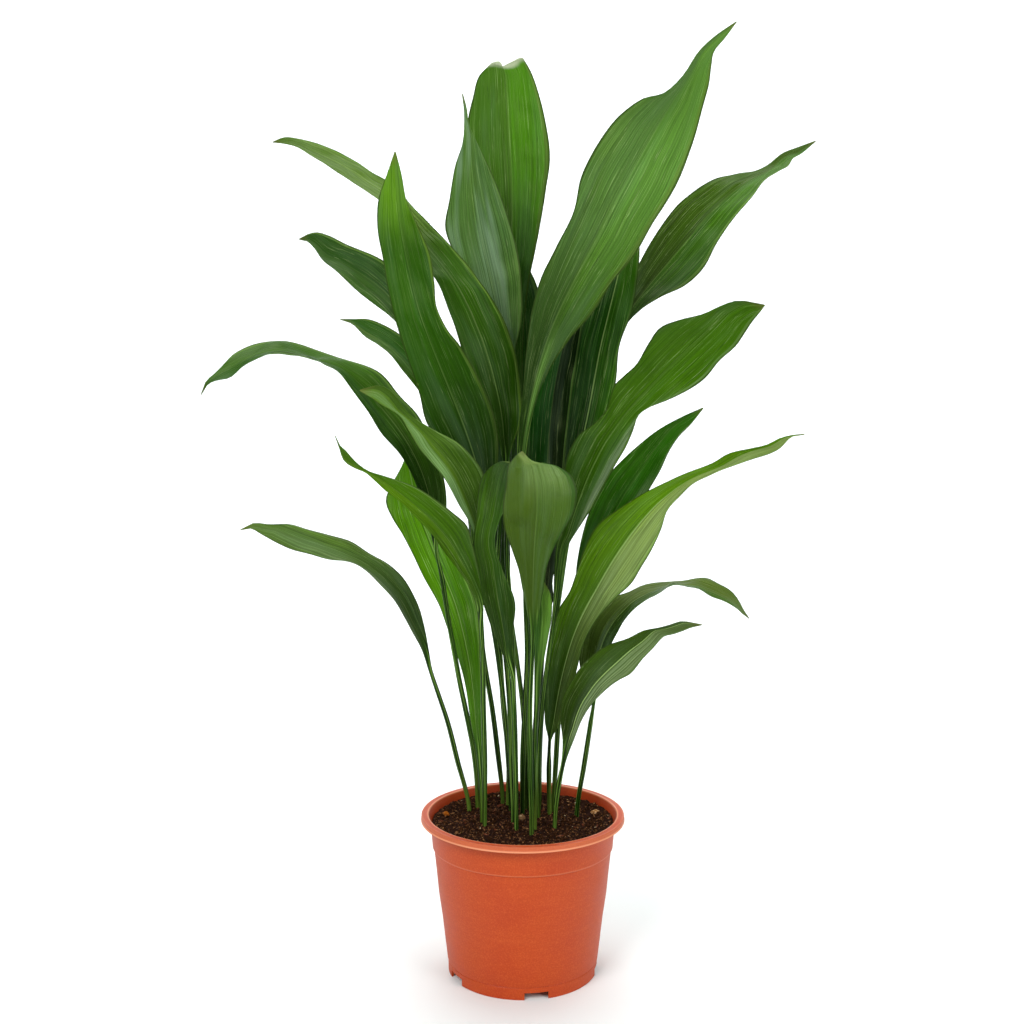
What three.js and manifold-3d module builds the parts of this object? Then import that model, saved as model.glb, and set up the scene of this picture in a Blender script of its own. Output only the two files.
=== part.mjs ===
// Cast iron plant (Aspidistra) in a round nursery pot. Millimetres, +Z up, -Y towards the viewer.
// The origin is the centre of the pot's underside.
// There are three kinds of piece: the pot, the soil that fills it, and the leaves.
// A leaf and its stalk are one grown piece, and each stalk stands in its own hole in the soil.

import * as THREE from "three";
import Module from "manifold-3d";

// Pot
const ROUND_SIDES = 48; // facets round the pot and the soil
const WALL = 1.6;
const FOOT_RADIUS = 70;
const FOOT_HEIGHT = 11.6; // the foot is drawn in a little below this line
const FLOOR_HEIGHT = 7.4; // underside of the raised floor
const CENTRE_DISC_RADIUS = 30; // the middle of the floor dips to the ground
const COLLAR_BOTTOM = 119.5; // a band under the lip stands out from the tapered wall
const COLLAR_TOP = 141;
const LIP_INNER_RADIUS = 87.7; // the lip is a flat ledge with a skirt round its outer edge
const LIP_OUTER_RADIUS = 95;
const LIP_TOP = 150.4;
const LIP_BOTTOM = 144.9;
const NOTCHES = 5;
const NOTCH_WIDTH = 22;
const NOTCH_HEIGHT = 6.8;
const FIRST_NOTCH_ANGLE = -80; // degrees from +X: the front one is 10 degrees right of the middle
const DRAIN_HOLES = 6;
const DRAIN_HOLE_RADIUS = 5;
const DRAIN_CIRCLE_RADIUS = 50;

// Soil
const SOIL_TOP = 138;
const SOIL_GAP = 0.3; // clearance to the pot's inner face
const SOIL_UNEVENNESS = 0.8;
const SOIL_RIM = 84.2;
const BANK_FROM = 68; // the soil is banked up from this radius to the pot's wall
const BANK_HEIGHT = 5.3;

// Leaves
const STALK_RADIUS = 2.1; // at the blade
const STALK_FOOT_RADIUS = 2.7; // at the soil
const STALK_BOTTOM = 114; // lowest point of each stalk
const STALK_FREE_HEIGHT = 140; // a stalk is upright up to here
const HOLE_CLEARANCE = 0.6;
const HOLE_DEPTH_MARGIN = 2;
const HOLE_SIDES = 10;
const RIB_THICKNESS = 1.0;
const EDGE_THICKNESS = 0.8;
const TIP_WIDTH = 1.0;
const TIP_THICKNESS = 0.6;
const STALK_MERGE_WIDTH = 8; // half width at which the stalk has flattened out into the blade
const FOLD = 0.18; // depth of the trough along the rib, as a share of the half width
const FOLD_ROUNDNESS = 1.4; // 1 is a sharp V, 2 a round trough
const ACROSS = [-1, -0.5, 0, 0.5, 1]; // places across a blade, from the left edge to the right one

// Leaves are laid out in the front elevation, as an eye in front of the plant sees them.
const EYE_DISTANCE = 1200; // before the pot's axis
const EYE_HEIGHT = 555;
const EYE_X = -10;

// The clump opens out: its depths are stretched about its middle, more and more up to a height.
const CLUMP_MIDDLE = 20; // depth behind the pot's axis
const CLUMP_STRETCH = 0.8; // added share of the depth where the stretch is full
const STRETCH_FROM = 150;
const STRETCH_FULL_AT = 500;

// How each leaf grows, from the soil to its tip.
// foot: x, y of the stalk at the soil.
// stalk: across, up and depth of points along the stalk; depth is measured back from the axis,
//   before the clump is stretched.
// blade: across and up of the left edge, then of the right one, the depth of the row's middle,
//   and how much farther back the right edge lies than the left one.
// tip: across, up, depth. colour: of the side that faces the viewer.
// stretch: this leaf's share of the clump's stretch, if not all of it.
const LEAVES = {
  // tall, highest tip, leans right at the top
  leaf_01: {
    colour: 0x2f5a1f,
    foot: [0, 32],
    stalk: [
      [0, 200, 28],
      [2, 250, 23],
      [4, 300, 20],
      [2.5, 350, 18],
      [2, 400, 16],
      [1, 450, 14],
    ],
    blade: [
      [-5, 488, 3, 486, 14, 0],
      [-3, 512, 6, 510, 14, 0],
      [0, 540, 12, 535, 13, 2],
      [3, 576, 27, 568, 12, 4],
      [8, 612, 43, 591, 11, 6],
      [16, 643, 62, 612, 9, 8],
      [31, 673, 81, 642, 6, 8],
      [45, 701, 99, 663.5, 3, 8],
      [52, 733, 116.5, 693, 0, 10],
      [67, 762, 136.5, 726.5, -3, 10],
      [88, 788, 150, 761.5, -6, 12],
      [107, 801, 158.5, 789.5, -9, 12],
      [125, 806.5, 164, 812, -11, 10],
      [143, 823, 165.5, 828, -12, 8],
      [155, 841, 168, 841, -13, 4],
      [168, 853.5, 177, 852, -13, 2],
    ],
    tip: [188, 867, -12],
  },
  // tall and broad, its tip torn off
  leaf_02: {
    colour: 0x2a5a22,
    foot: [4, 44],
    stalk: [
      [4, 200, 46],
      [6, 250, 50],
      [7, 300, 54],
      [5, 350, 58],
      [2, 400, 62],
      [-2, 450, 66],
      [-5, 500, 70],
    ],
    blade: [
      [-12, 545, -1, 545, 74, 0],
      [-18, 590, 0, 590, 78, 0],
      [-25, 630, 5, 640, 82, -2],
      [-33, 685, 13.5, 682, 88, -4],
      [-40, 722, 20, 722, 93, -6],
      [-46, 755, 23.5, 752, 98, -6],
      [-49, 780, 20, 778, 103, -6],
      [-44, 802, 14, 803, 107, -4],
      [-38, 822, 6, 825, 111, -2],
      [-28, 833, -0.5, 836, 114, 0],
    ],
    torn: [0, 1.6, -4.8, -4.2, 0],
  },
  // narrow sheen-grey leaf behind the left middle
  leaf_03: {
    colour: 0x4f6b4a,
    foot: [-7, 22],
    stalk: [
      [-7.5, 200, 24],
      [-8.5, 250, 26],
      [-9.5, 300, 28],
      [-12, 350, 30],
      [-15, 400, 32],
      [-14, 430, 33],
      [-13, 470, 35],
      [-12, 510, 38],
    ],
    blade: [
      [-15, 545, -9, 545, 41, 6],
      [-24, 572, -8, 577, 44, 6],
      [-36, 605, -1.5, 607, 47, 6],
      [-48, 635, -1.5, 637, 50, 6],
      [-60, 662, -5, 665, 52, 6],
      [-69.5, 688, -12, 691, 53, 6],
      [-65, 715, -20, 716, 54, 6],
      [-60.5, 742, -31, 741, 54, 4],
      [-53.5, 763, -41, 762, 54, 2],
      [-52.2, 779, -48.5, 779, 54.5, 0],
      [-52.5, 792, -50.5, 793, 54.5, 0],
    ],
    tip: [-54, 805, 55],
  },
  // long arch to the upper left
  leaf_04: {
    colour: 0x2f5f24,
    foot: [-14, 54],
    stalk: [
      [-13, 200, 52],
      [-18, 250, 46],
      [-21, 300, 40],
      [-24, 350, 35],
      [-22, 400, 31],
      [-19, 440, 28],
      [-16, 470, 26],
    ],
    blade: [
      [-20, 490, -11, 490, 25, 2],
      [-27, 510, -2, 516, 24, 4],
      [-37, 533, -2.5, 545, 24, 6],
      [-48, 558, -6.5, 572, 24, 8],
      [-57, 586, -15, 600, 25, 8],
      [-66, 614, -29, 627, 27, 10],
      [-77, 641, -46, 650, 31, 10],
      [-92, 658, -70, 677, 37, 12],
      [-108, 681, -91, 699, 45, 12],
      [-127, 711, -117, 725.5, 55, 12],
      [-145, 723, -135, 737, 64, 12],
      [-165, 737, -157, 751, 74, 12],
      [-185, 749, -179, 760, 84, 8],
      [-203, 759.5, -200, 766, 94, 4],
      [-214, 762, -213, 767, 100, 2],
    ],
    tip: [-223, 763, 105],
  },
  // broad upright leaf left of the middle
  leaf_05: {
    colour: 0x2c5a20,
    foot: [-9, 8],
    stalk: [
      [-11, 200, 10],
      [-12, 250, 11],
      [-16, 300, 12],
      [-22, 350, 14],
      [-33, 400, 13],
      [-34, 435, 11],
    ],
    blade: [
      [-44, 455, -27, 459, 10, -2],
      [-56, 473, -23, 480, 8, -4],
      [-73, 493, -24, 507, 6, -4],
      [-87, 514, -31, 533, 5, -4],
      [-93.5, 539.5, -43, 559, 5, -4],
      [-101, 563, -57, 583, 6, -4],
      [-109, 587, -69, 598, 7, -4],
      [-116, 611, -78, 617, 8, -4],
      [-122, 638, -80, 640, 10, -4],
      [-126, 663, -84, 665, 12, -4],
      [-130, 690, -95, 691, 15, -4],
      [-129, 713, -104.5, 712, 18, -2],
      [-122, 733, -108.5, 734, 21, -2],
    ],
    tip: [-114, 755, 24],
  },
  // arching left, over leaf_07
  leaf_06: {
    colour: 0x376628,
    foot: [-37, 38],
    stalk: [
      [-36.5, 200, 40],
      [-36.8, 250, 42],
      [-37.3, 300, 44],
      [-40.5, 345, 46],
      [-45, 400, 48],
      [-50, 450, 50],
      [-60, 485, 52],
      [-74, 518, 54],
    ],
    blade: [
      [-99, 570, -88, 578, 59, 6],
      [-104, 592, -90, 612, 62, 10],
      [-120, 610, -103, 636, 66, 10],
      [-137, 623, -124, 658, 71, 10],
      [-153, 636, -145, 668, 76, 10],
      [-168, 650, -161, 674, 81, 10],
      [-180, 660, -174, 681, 86, 8],
      [-189, 672.5, -187, 684, 90, 4],
      [-196, 677.5, -196, 681, 93, 2],
    ],
    tip: [-201, 678, 95],
  },
  // short leaf behind, on the left
  leaf_07: {
    colour: 0x2b5524,
    foot: [-19, 61.5],
    stalk: [
      [-23, 205, 63],
      [-28.5, 250, 65],
      [-35, 290, 66],
      [-40, 330, 67],
      [-45, 380, 68],
      [-49, 430, 69],
      [-57, 470, 70],
      [-70, 505, 71],
    ],
    blade: [
      [-84, 528, -77, 534, 72, 4],
      [-96, 545, -85, 560, 74, 8],
      [-107, 559, -96, 578, 76, 10],
      [-118, 574, -109, 592, 79, 10],
      [-130, 584, -124, 601, 82, 8],
      [-143, 592, -139, 607, 85, 6],
      [-154, 603, -153, 607, 88, 2],
    ],
    tip: [-165, 607, 90],
  },
  // the longest reach to the left
  leaf_08: {
    colour: 0x2e5c22,
    foot: [-43.4, 47.5],
    stalk: [
      [-44.5, 200, 36],
      [-53.5, 250, 27],
      [-58, 272, 24],
      [-63, 300, 20],
      [-69, 335, 17],
      [-74, 370, 14],
      [-80, 402, 11],
    ],
    blade: [
      [-86, 420, -74, 417, 10, 3],
      [-94, 447, -70, 440, 8, 5],
      [-101, 467, -73, 466, 6, 6],
      [-112, 486, -82, 492, 4, 8],
      [-127, 503, -94.5, 518, 2, 10],
      [-141, 524, -112.5, 539, 0, 12],
      [-153, 541.5, -129, 559, -4, 14],
      [-166, 560, -153.5, 569, -8, 18],
      [-185.5, 570.5, -183.5, 577.5, -13, 22],
      [-203, 575, -203, 585, -18, 22],
      [-222, 577.5, -222, 589, -24, 20],
      [-240, 573, -243, 584.5, -30, 18],
      [-254, 564.5, -261, 576, -37, 12],
      [-266, 554.5, -271, 566, -43, 8],
      [-278, 552, -279.5, 558, -48, 6],
      [-285, 549, -286.5, 552, -52, 2],
    ],
    tip: [-292, 539, -56],
  },
  // middle left, crossing in front of leaf_05 and leaf_08
  leaf_09: {
    colour: 0x3a6130,
    foot: [-11, 40],
    stalk: [
      [-13, 195, 32],
      [-16, 235, 22],
      [-20, 275, 12],
      [-24, 305, 5],
      [-29, 335, 0],
      [-34, 370, -3],
    ],
    blade: [
      [-42, 402, -35, 404, -7, 4],
      [-49, 424, -34, 430, -9, 8],
      [-59.5, 441.5, -33, 455, -11, 8],
      [-72, 464, -38, 472, -13, 10],
      [-86, 481, -50, 487, -15, 10],
      [-95, 492, -63, 498, -17, 12],
      [-104, 508, -80, 507, -19, 12],
      [-111, 519.5, -96, 516.5, -21, 10],
      [-121, 526, -107, 526, -23, 10],
      [-130, 531, -116, 539, -26, 8],
      [-138, 537, -127, 547, -29, 6],
      [-143, 540, -138, 547, -31, 2],
    ],
    tip: [-148, 543.5, -33],
  },
  // low arch in front, to the left
  leaf_10: {
    colour: 0x3b6a2a,
    foot: [-35.6, -3.2],
    stalk: [
      [-35.5, 200, -6],
      [-36.5, 250, -12],
      [-37, 300, -21],
      [-38.5, 332, -27],
    ],
    blade: [
      [-42, 346, -37, 352, -30, 4],
      [-48, 362, -41, 378, -32, 6],
      [-60, 380, -46, 400, -34, 6],
      [-72, 396, -51, 419, -37, 6],
      [-83, 412, -65, 432, -41, 6],
      [-96, 426, -81, 444.5, -46, 6],
      [-110, 441, -98, 455, -51, 6],
      [-125, 452, -115, 461.5, -56, 4],
      [-135, 461.5, -131, 466.5, -61, 2],
      [-143, 468.5, -141, 469.8, -65, 0],
      [-150, 471.5, -150, 476, -69, 2],
      [-157, 475, -156, 482, -73, 2],
      [-163.5, 480.5, -162, 489, -77, 2],
      [-166.5, 489, -166, 492.5, -80, 0],
    ],
    tip: [-171, 502.5, -82],
  },
  // broad bright leaf at the lower left
  leaf_11: {
    colour: 0x5f9a1e,
    foot: [-38, 9],
    stalk: [[-39.5, 185, 10]],
    blade: [
      [-43.5, 212, -38, 212, 12, -2],
      [-48, 236, -38, 236, 18, -4],
      [-52.5, 268, -38.5, 266, 24, -6],
      [-60, 298, -40, 298, 30, -6],
      [-69, 324, -40, 322, 34, -6],
      [-77, 347, -43, 346, 38, -6],
      [-90, 370, -53, 372, 41, -6],
      [-100, 392, -62, 396, 44, -6],
      [-110, 412, -70, 416, 47, -6],
      [-119, 427, -78, 430, 48, -6],
      [-125, 446, -87, 450, 51, -6],
      [-118, 461, -94, 464, 53, -4],
      [-111, 473, -99, 475, 54, -2],
    ],
    tip: [-104, 490, 55],
  },
  // low, nearly level tip at the far left
  leaf_12: {
    colour: 0x34622a,
    foot: [-51.4, 40],
    stalk: [
      [-61, 200, 42],
      [-70, 237, 41],
      [-79, 265, 40],
      [-86, 287, 39],
    ],
    blade: [
      [-92.5, 303, -87, 303, 38, 2],
      [-102, 321.5, -91, 325.5, 37, 4],
      [-109, 335, -95, 341.5, 36, 6],
      [-117.5, 350, -102, 358, 35, 8],
      [-129, 363.5, -111, 372, 33, 10],
      [-142, 376.5, -123.5, 384, 31, 10],
      [-157.5, 386, -140, 394, 29, 10],
      [-176, 388.5, -157.5, 405, 26, 10],
      [-194, 393.5, -177.5, 411, 23, 10],
      [-211, 398, -197, 416, 20, 10],
      [-226, 404.5, -214, 421, 17, 8],
      [-240, 412.5, -233, 421, 14, 4],
      [-249, 417.5, -247, 422, 11, 2],
    ],
    tip: [-259, 416, 8],
  },
  // in front, its top turned over towards the viewer
  leaf_13: {
    colour: 0x23491c,
    foot: [-5.9, -14.9],
    stalk: [
      [-6.8, 200, -15],
      [-8, 250, -16],
      [-9.5, 280, -17],
    ],
    blade: [
      [-19, 302, -9.5, 300, -18, -2],
      [-29, 326, -9, 324, -19, -4],
      [-37, 350, -7.5, 349, -20, -4],
      [-42, 378, -18, 376, -21, -4],
      [-45, 402, -26, 402, -24, -4],
      [-42.5, 428, -22, 424, -30, -4],
      [-40.5, 450, -13, 442, -38, -4],
      [-37, 464, -8, 456, -46, -4],
      [-29, 474, -4, 466, -54, -4],
      [-19, 478.5, -3, 472, -62, -2],
    ],
    tip: [-8, 476, -70],
  },
  // the leaf that leans out over the pot and shows its pale underside
  leaf_14: {
    colour: 0x6f9450,
    fold: -0.1,
    stretch: 0,
    foot: [8.1, -25.1],
    stalk: [
      [7, 200, -27],
      [6.5, 250, -29],
      [8, 290, -32],
      [9.5, 318, -36],
    ],
    blade: [
      [3, 346, 16, 346, -42, 0],
      [0, 361, 18.5, 361, -47, 0],
      [-3.5, 379, 21, 379, -54, 0],
      [-10, 398.5, 28, 399, -63, 0],
      [-16.4, 417.6, 37.5, 417.5, -76, 0],
      [-18, 431, 46, 432, -88, 0],
      [-17.6, 442, 49, 447, -100, 0],
      [-15.2, 456, 47.5, 457, -115, 0],
      [-14.2, 468, 42, 467.5, -132, 0],
      [-13, 476, 31, 475.8, -150, 0],
      [-10, 480, 18, 477.2, -168, 0],
      [-5, 485, 7, 480.5, -185, 0],
    ],
    tip: [-0.5, 488, -200],
  },
  // upright, right of the middle, behind
  leaf_15: {
    colour: 0x254a1e,
    foot: [16, 46],
    stalk: [
      [13, 200, 44],
      [15, 250, 44],
      [18, 300, 44],
      [21, 350, 44],
      [25, 400, 44],
    ],
    blade: [
      [28, 432, 40, 428, 43, -2],
      [33, 462, 56, 462, 43, -4],
      [37, 495, 70, 495, 42, -6],
      [41, 525, 79, 527, 42, -6],
      [45, 553, 84, 553, 42, -6],
      [49, 582, 86.5, 582, 42, -6],
      [55, 613, 97, 613, 43, -6],
      [66, 640, 102, 640, 44, -4],
      [80, 664, 104, 664, 45, -2],
    ],
    tip: [103, 690, 46],
  },
  // upright, just right of the middle
  leaf_16: {
    colour: 0x30602a,
    foot: [11, 36],
    stalk: [
      [10, 200, 34],
      [13, 250, 32],
      [17, 300, 31],
      [20, 335, 30],
    ],
    blade: [
      [15, 352, 27.5, 350, 30, -2],
      [13, 372, 27, 370, 30, -4],
      [12.5, 387, 31, 386, 30, -4],
      [12, 402, 34, 402, 29, -6],
      [6, 440, 35.5, 440, 29, -6],
      [5, 470, 37, 468, 28, -6],
      [4, 500, 39, 498, 28, -6],
      [6, 530, 42.5, 528, 28, -6],
      [12, 560, 46, 556, 28, -6],
      [20, 590, 50.5, 585, 29, -6],
      [32, 622, 56, 617, 30, -4],
      [46, 650, 66, 642, 31, -2],
    ],
    tip: [64, 682, 32],
  },
  // long arch to the upper right
  leaf_17: {
    colour: 0x356326,
    foot: [17, 57.5],
    stalk: [
      [15.5, 200, 56],
      [18, 250, 57],
      [23, 290, 58],
      [30, 330, 59],
      [35, 365, 60],
      [40, 400, 61],
      [48, 440, 62],
      [57, 480, 63],
      [68, 520, 64],
      [79, 555, 65],
    ],
    blade: [
      [79, 580, 85.5, 577, 66, -2],
      [84, 606, 91, 599.5, 67, -4],
      [92, 630, 105.5, 615.5, 69, -8],
      [102, 652, 122, 626, 72, -8],
      [112, 671, 143, 636, 76, -8],
      [124, 690, 161, 652, 81, -8],
      [138.5, 708, 174, 676, 87, -8],
      [155, 722, 188.5, 697, 93, -8],
      [172, 731.5, 203.5, 715, 99, -8],
      [189, 735, 214.5, 729, 105, -6],
      [205.5, 737.5, 227.5, 737.5, 111, -4],
      [218, 743.5, 235.5, 742, 116, -4],
      [231, 753.5, 240, 749, 121, -2],
      [243, 758, 247, 753, 125, -2],
    ],
    tip: [260, 764, 130],
  },
  // broad arch to the right
  leaf_18: {
    colour: 0x33602a,
    foot: [15, 18],
    stalk: [
      [14.8, 200, 14],
      [18, 250, 9],
      [24, 300, 4],
      [29.5, 343, 1],
    ],
    blade: [
      [28.8, 364, 35, 362, -1, 0],
      [29.2, 385, 37.6, 383, -3, -1],
      [31, 405, 41, 401, -6, -2],
      [34, 425, 51, 418, -9, -4],
      [36, 447, 63, 437, -12, -6],
      [38, 470, 74, 457, -15, -8],
      [42, 488, 84, 476, -17, -8],
      [52, 503.5, 94, 493, -19, -8],
      [66, 514, 100, 508, -20, -8],
      [76, 526, 103.5, 519.5, -21, -8],
      [82, 546, 113, 527.5, -23, -8],
      [92, 556.5, 132, 535, -26, -8],
      [103, 567, 151.5, 545, -30, -8],
      [113, 584, 165, 555, -35, -8],
      [124, 599.5, 177, 570, -40, -8],
      [142, 606.5, 191, 582.5, -46, -8],
      [162, 611.5, 200, 595.5, -52, -8],
      [180, 619.5, 207, 606, -58, -6],
      [194, 623.5, 213, 613.5, -63, -4],
    ],
    tip: [217.5, 620, -68],
  },
  // half-height, right of the middle
  leaf_19: {
    colour: 0x22481e,
    foot: [30, 38],
    stalk: [
      [31, 200, 37],
      [34, 250, 35],
      [39, 300, 33],
      [45, 340, 31],
    ],
    blade: [
      [48, 362, 58, 358, 30, -2],
      [50, 385, 70, 378, 29, -4],
      [54, 408, 82, 398, 28, -6],
      [60, 430, 94, 418, 27, -6],
      [69, 450, 106, 438, 26, -6],
      [79, 467, 116, 455, 25, -6],
      [92, 481, 125, 471, 24, -6],
      [107, 495, 132, 487, 23, -6],
      [124, 508, 141, 501, 22, -4],
      [143, 518.5, 152, 512.5, 21, -2],
    ],
    tip: [163.5, 527.5, 20],
  },
  // light leaf, low arch to the right
  leaf_20: {
    colour: 0x6a9a3c,
    foot: [25.9, 30.8],
    stalk: [
      [24.5, 195, 26],
      [25.5, 222, 23],
    ],
    blade: [
      [21.5, 232, 33, 232, 21, -4],
      [20.5, 256, 40, 256, 19, -6],
      [22, 282, 48, 279, 17, -8],
      [26, 312, 55, 308, 15, -10],
      [33, 342, 67, 332, 12, -10],
      [44, 360, 84, 352, 9, -10],
      [51, 381, 99, 366, 6, -10],
      [58, 402, 108, 381, 3, -10],
      [69, 421, 118, 398, 0, -10],
      [85, 433.5, 126, 416, -4, -10],
      [101, 444, 131, 433, -8, -10],
      [120, 454.5, 144.5, 448.5, -13, -10],
      [137, 463, 156, 459, -18, -10],
      [152, 469.5, 173, 467, -24, -10],
      [172, 477, 191, 474.5, -30, -10],
      [188, 486, 209, 481, -37, -10],
      [206.5, 490.5, 225, 486, -44, -8],
      [222, 494, 234, 491, -50, -6],
      [234, 500, 240, 497.5, -55, -4],
      [243, 502.3, 244, 501.3, -58, 0],
    ],
    tip: [256, 503.5, -62],
  },
  // twisted half-way and drooping at the far right
  leaf_21: {
    colour: 0x2b5524,
    foot: [51.8, 22.9],
    stalk: [
      [58, 200, 25],
      [63, 235, 27],
      [66, 258, 29],
    ],
    blade: [
      [54, 285, 74, 283, 32, -5],
      [53.5, 310, 81, 308, 33, -8],
      [61, 330, 87, 321, 34, -8],
      [74, 345, 93, 332, 35, -10],
      [84, 354, 101, 341.5, 36, -12],
      [97, 358.5, 112, 349.5, 38, -14],
      [109.5, 364, 122, 355.5, 41, -16],
      [124, 367, 131, 361, 44, -18],
      [137, 368.5, 139, 366.8, 47, -18],
      [148, 369, 151, 364, 50, -16],
      [160, 371.5, 163, 361.5, 53, -14],
      [170, 371.5, 173, 355, 56, -14],
      [180, 366.5, 182, 351, 59, -12],
      [190, 360.5, 191, 347, 62, -10],
      [198, 351.5, 198, 342.5, 65, -8],
      [204, 341, 203, 338, 67, -4],
    ],
    tip: [209, 333.5, 69],
  },
  // lowest leaf in front, to the right
  leaf_22: {
    colour: 0x46663c,
    foot: [29.7, -9.8],
    stalk: [
      [34, 178, -8],
      [38, 198, -9],
    ],
    blade: [
      [37.5, 218, 47, 218.5, -11, -2],
      [35.5, 240, 56, 241, -13, -4],
      [37, 259, 66, 256, -15, -6],
      [44, 273, 79, 269, -18, -8],
      [54, 288, 89, 276, -21, -8],
      [67, 301, 99.5, 282, -25, -8],
      [82, 310, 110.5, 296, -30, -8],
      [98, 315.5, 120, 306, -36, -8],
      [112, 322.5, 130, 317, -42, -8],
      [125.5, 325, 138, 319, -49, -6],
      [136.5, 328, 147, 322, -56, -4],
      [146.5, 331, 154, 325, -62, -2],
    ],
    tip: [165.5, 328, -68],
  },
  // at the back, mostly hidden
  leaf_23: {
    colour: 0x1f3f1a,
    foot: [2, 60],
    stalk: [
      [3, 200, 60],
      [0, 250, 63],
      [-6, 300, 66],
      [-12, 345, 69],
    ],
    blade: [
      [-18, 372, -12, 371, 71, 0],
      [-24, 390, -12, 390, 72, 0],
      [-28, 412, -12, 412, 74, 0],
      [-29, 440, -7, 440, 77, 0],
      [-28, 470, 3, 468, 80, 0],
      [-26, 500, 7, 498, 83, 0],
      [-25, 530, 8, 530, 86, 0],
      [-26, 570, 10, 570, 91, 0],
      [-38, 610, 16, 605, 98, 0],
      [-44, 640, 11, 640, 106, 0],
      [-42, 662, -4, 664, 112, 0],
    ],
    tip: [-34, 690, 120],
  },
  // short and narrow, just behind the leaning one
  leaf_24: {
    colour: 0x2d5a24,
    foot: [11, -12],
    stalk: [
      [11, 190, -13],
      [12, 235, -13],
    ],
    blade: [
      [11, 262, 15.5, 262, -14, 0],
      [11, 287, 18, 287, -15, -2],
      [11, 316, 23, 316, -16, -2],
      [10.5, 338, 26.3, 337, -17, -2],
      [11, 353, 26, 353, -18, -2],
      [13, 364, 23, 362, -19, -2],
    ],
    tip: [17.5, 371, -20],
  },
};

const wasm = await Module();
wasm.setup();

const mix = (a, b, share) => a + (b - a) * share;
const clamp = (value) => Math.min(Math.max(value, 0), 1);

// A point of the front elevation, moved along the line of sight to its depth in the open clump.
function seen(across, up, depth, share = 1) {
  const rise = clamp((up - STRETCH_FROM) / (STRETCH_FULL_AT - STRETCH_FROM));
  const y = depth + (depth - CLUMP_MIDDLE) * CLUMP_STRETCH * share * rise;
  const k = (EYE_DISTANCE + y) / EYE_DISTANCE;
  return new THREE.Vector3(EYE_X + (across - EYE_X) * k, y, EYE_HEIGHT + (up - EYE_HEIGHT) * k);
}

// The cross-sections of a leaf from the bottom of its stalk to its tip: the middle, the half vector
// from there to the right edge, and the radius of the stalk, which is 0 beyond the widest row.
function sections(leaf) {
  const list = [STALK_BOTTOM, STALK_FREE_HEIGHT].map((height) => ({
    middle: new THREE.Vector3(...leaf.foot, height),
    half: new THREE.Vector3(STALK_FOOT_RADIUS, 0, 0),
    radius: STALK_FOOT_RADIUS,
  }));
  leaf.stalk.forEach(([across, up, depth], i) => {
    const radius = mix(STALK_FOOT_RADIUS, STALK_RADIUS, (i + 1) / leaf.stalk.length);
    const half = new THREE.Vector3(radius, 0, 0);
    list.push({ middle: seen(across, up, depth, leaf.stretch), half, radius });
  });
  for (const [leftAcross, leftUp, rightAcross, rightUp, depth, tilt] of leaf.blade) {
    const left = seen(leftAcross, leftUp, depth - tilt / 2, leaf.stretch);
    const right = seen(rightAcross, rightUp, depth + tilt / 2, leaf.stretch);
    const middle = left.clone().add(right).multiplyScalar(0.5);
    list.push({ middle, half: right.sub(left).multiplyScalar(0.5), radius: STALK_RADIUS });
  }
  if (leaf.tip) {
    const half = list.at(-1).half.clone().setLength(TIP_WIDTH / 2);
    list.push({ middle: seen(...leaf.tip, leaf.stretch), half, radius: 0, tip: true });
  }
  const widths = list.map((section) => section.half.length());
  const widest = widths.indexOf(Math.max(...widths));
  list.forEach((section, i) => {
    if (i >= widest) section.radius = 0;
  });
  return list;
}

// Half the leaf's thickness at a place across it: round on the stalk, flat on the blade.
function halfThickness(section, x) {
  if (section.tip) return TIP_THICKNESS / 2;
  const flat = mix(RIB_THICKNESS, EDGE_THICKNESS, x * x) / 2;
  if (!section.radius) return flat;
  const width = section.half.length();
  const roundness = clamp((STALK_MERGE_WIDTH - width) / (STALK_MERGE_WIDTH - section.radius));
  return mix(flat, section.radius * Math.sqrt(1 - (0.95 * x) ** 2), roundness);
}

// How deep the trough along the rib is; the stalk has none.
function trough(section, x, fold) {
  const width = section.half.length();
  const flatness = section.radius ? clamp((width - section.radius) / STALK_MERGE_WIDTH) : 1;
  return fold * width * flatness * (1 - Math.abs(x) ** FOLD_ROUNDNESS);
}

// A leaf is a run of rings. Each ring has the upper face's points from left to right, then the
// lower face's from right to left, and both faces are split along the same diagonals.
function leafGeometry(leaf) {
  const list = sections(leaf);
  const count = ACROSS.length;
  const ring = 2 * count;
  const positions = [];
  list.forEach((section, i) => {
    const before = list[Math.max(i - 1, 0)].middle;
    const after = list[Math.min(i + 1, list.length - 1)].middle;
    const along = after.clone().sub(before).normalize();
    const face = section.half.clone().cross(along).normalize();
    const point = (place, side) => {
      const x = ACROSS[place];
      const p = section.middle.clone().addScaledVector(section.half, x);
      p.addScaledVector(face, side * halfThickness(section, x) - trough(section, x, leaf.fold ?? FOLD));
      if (leaf.torn && i === list.length - 1) p.addScaledVector(along, leaf.torn[place]);
      positions.push(...p.toArray());
    };
    for (let place = 0; place < count; place++) point(place, 1);
    for (let place = count - 1; place >= 0; place--) point(place, -1);
  });
  const faces = [];
  for (let i = 0; i < list.length - 1; i++) {
    for (let j = 0; j < ring; j++) {
      const a = i * ring + j;
      const b = i * ring + ((j + 1) % ring);
      const c = b + ring;
      const d = a + ring;
      if (j < count) faces.push(a, b, c, a, c, d);
      else faces.push(a, b, d, b, c, d);
    }
  }
  const end = (list.length - 1) * ring;
  for (let j = 0; j < count - 1; j++) {
    const under = ring - 1 - j;
    faces.push(j, under, under - 1, j, under - 1, j + 1);
    faces.push(end + j, end + j + 1, end + under - 1, end + j, end + under - 1, end + under);
  }
  const geometry = new THREE.BufferGeometry();
  geometry.setAttribute("position", new THREE.Float32BufferAttribute(positions, 3));
  geometry.setIndex(faces);
  return geometry;
}

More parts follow.
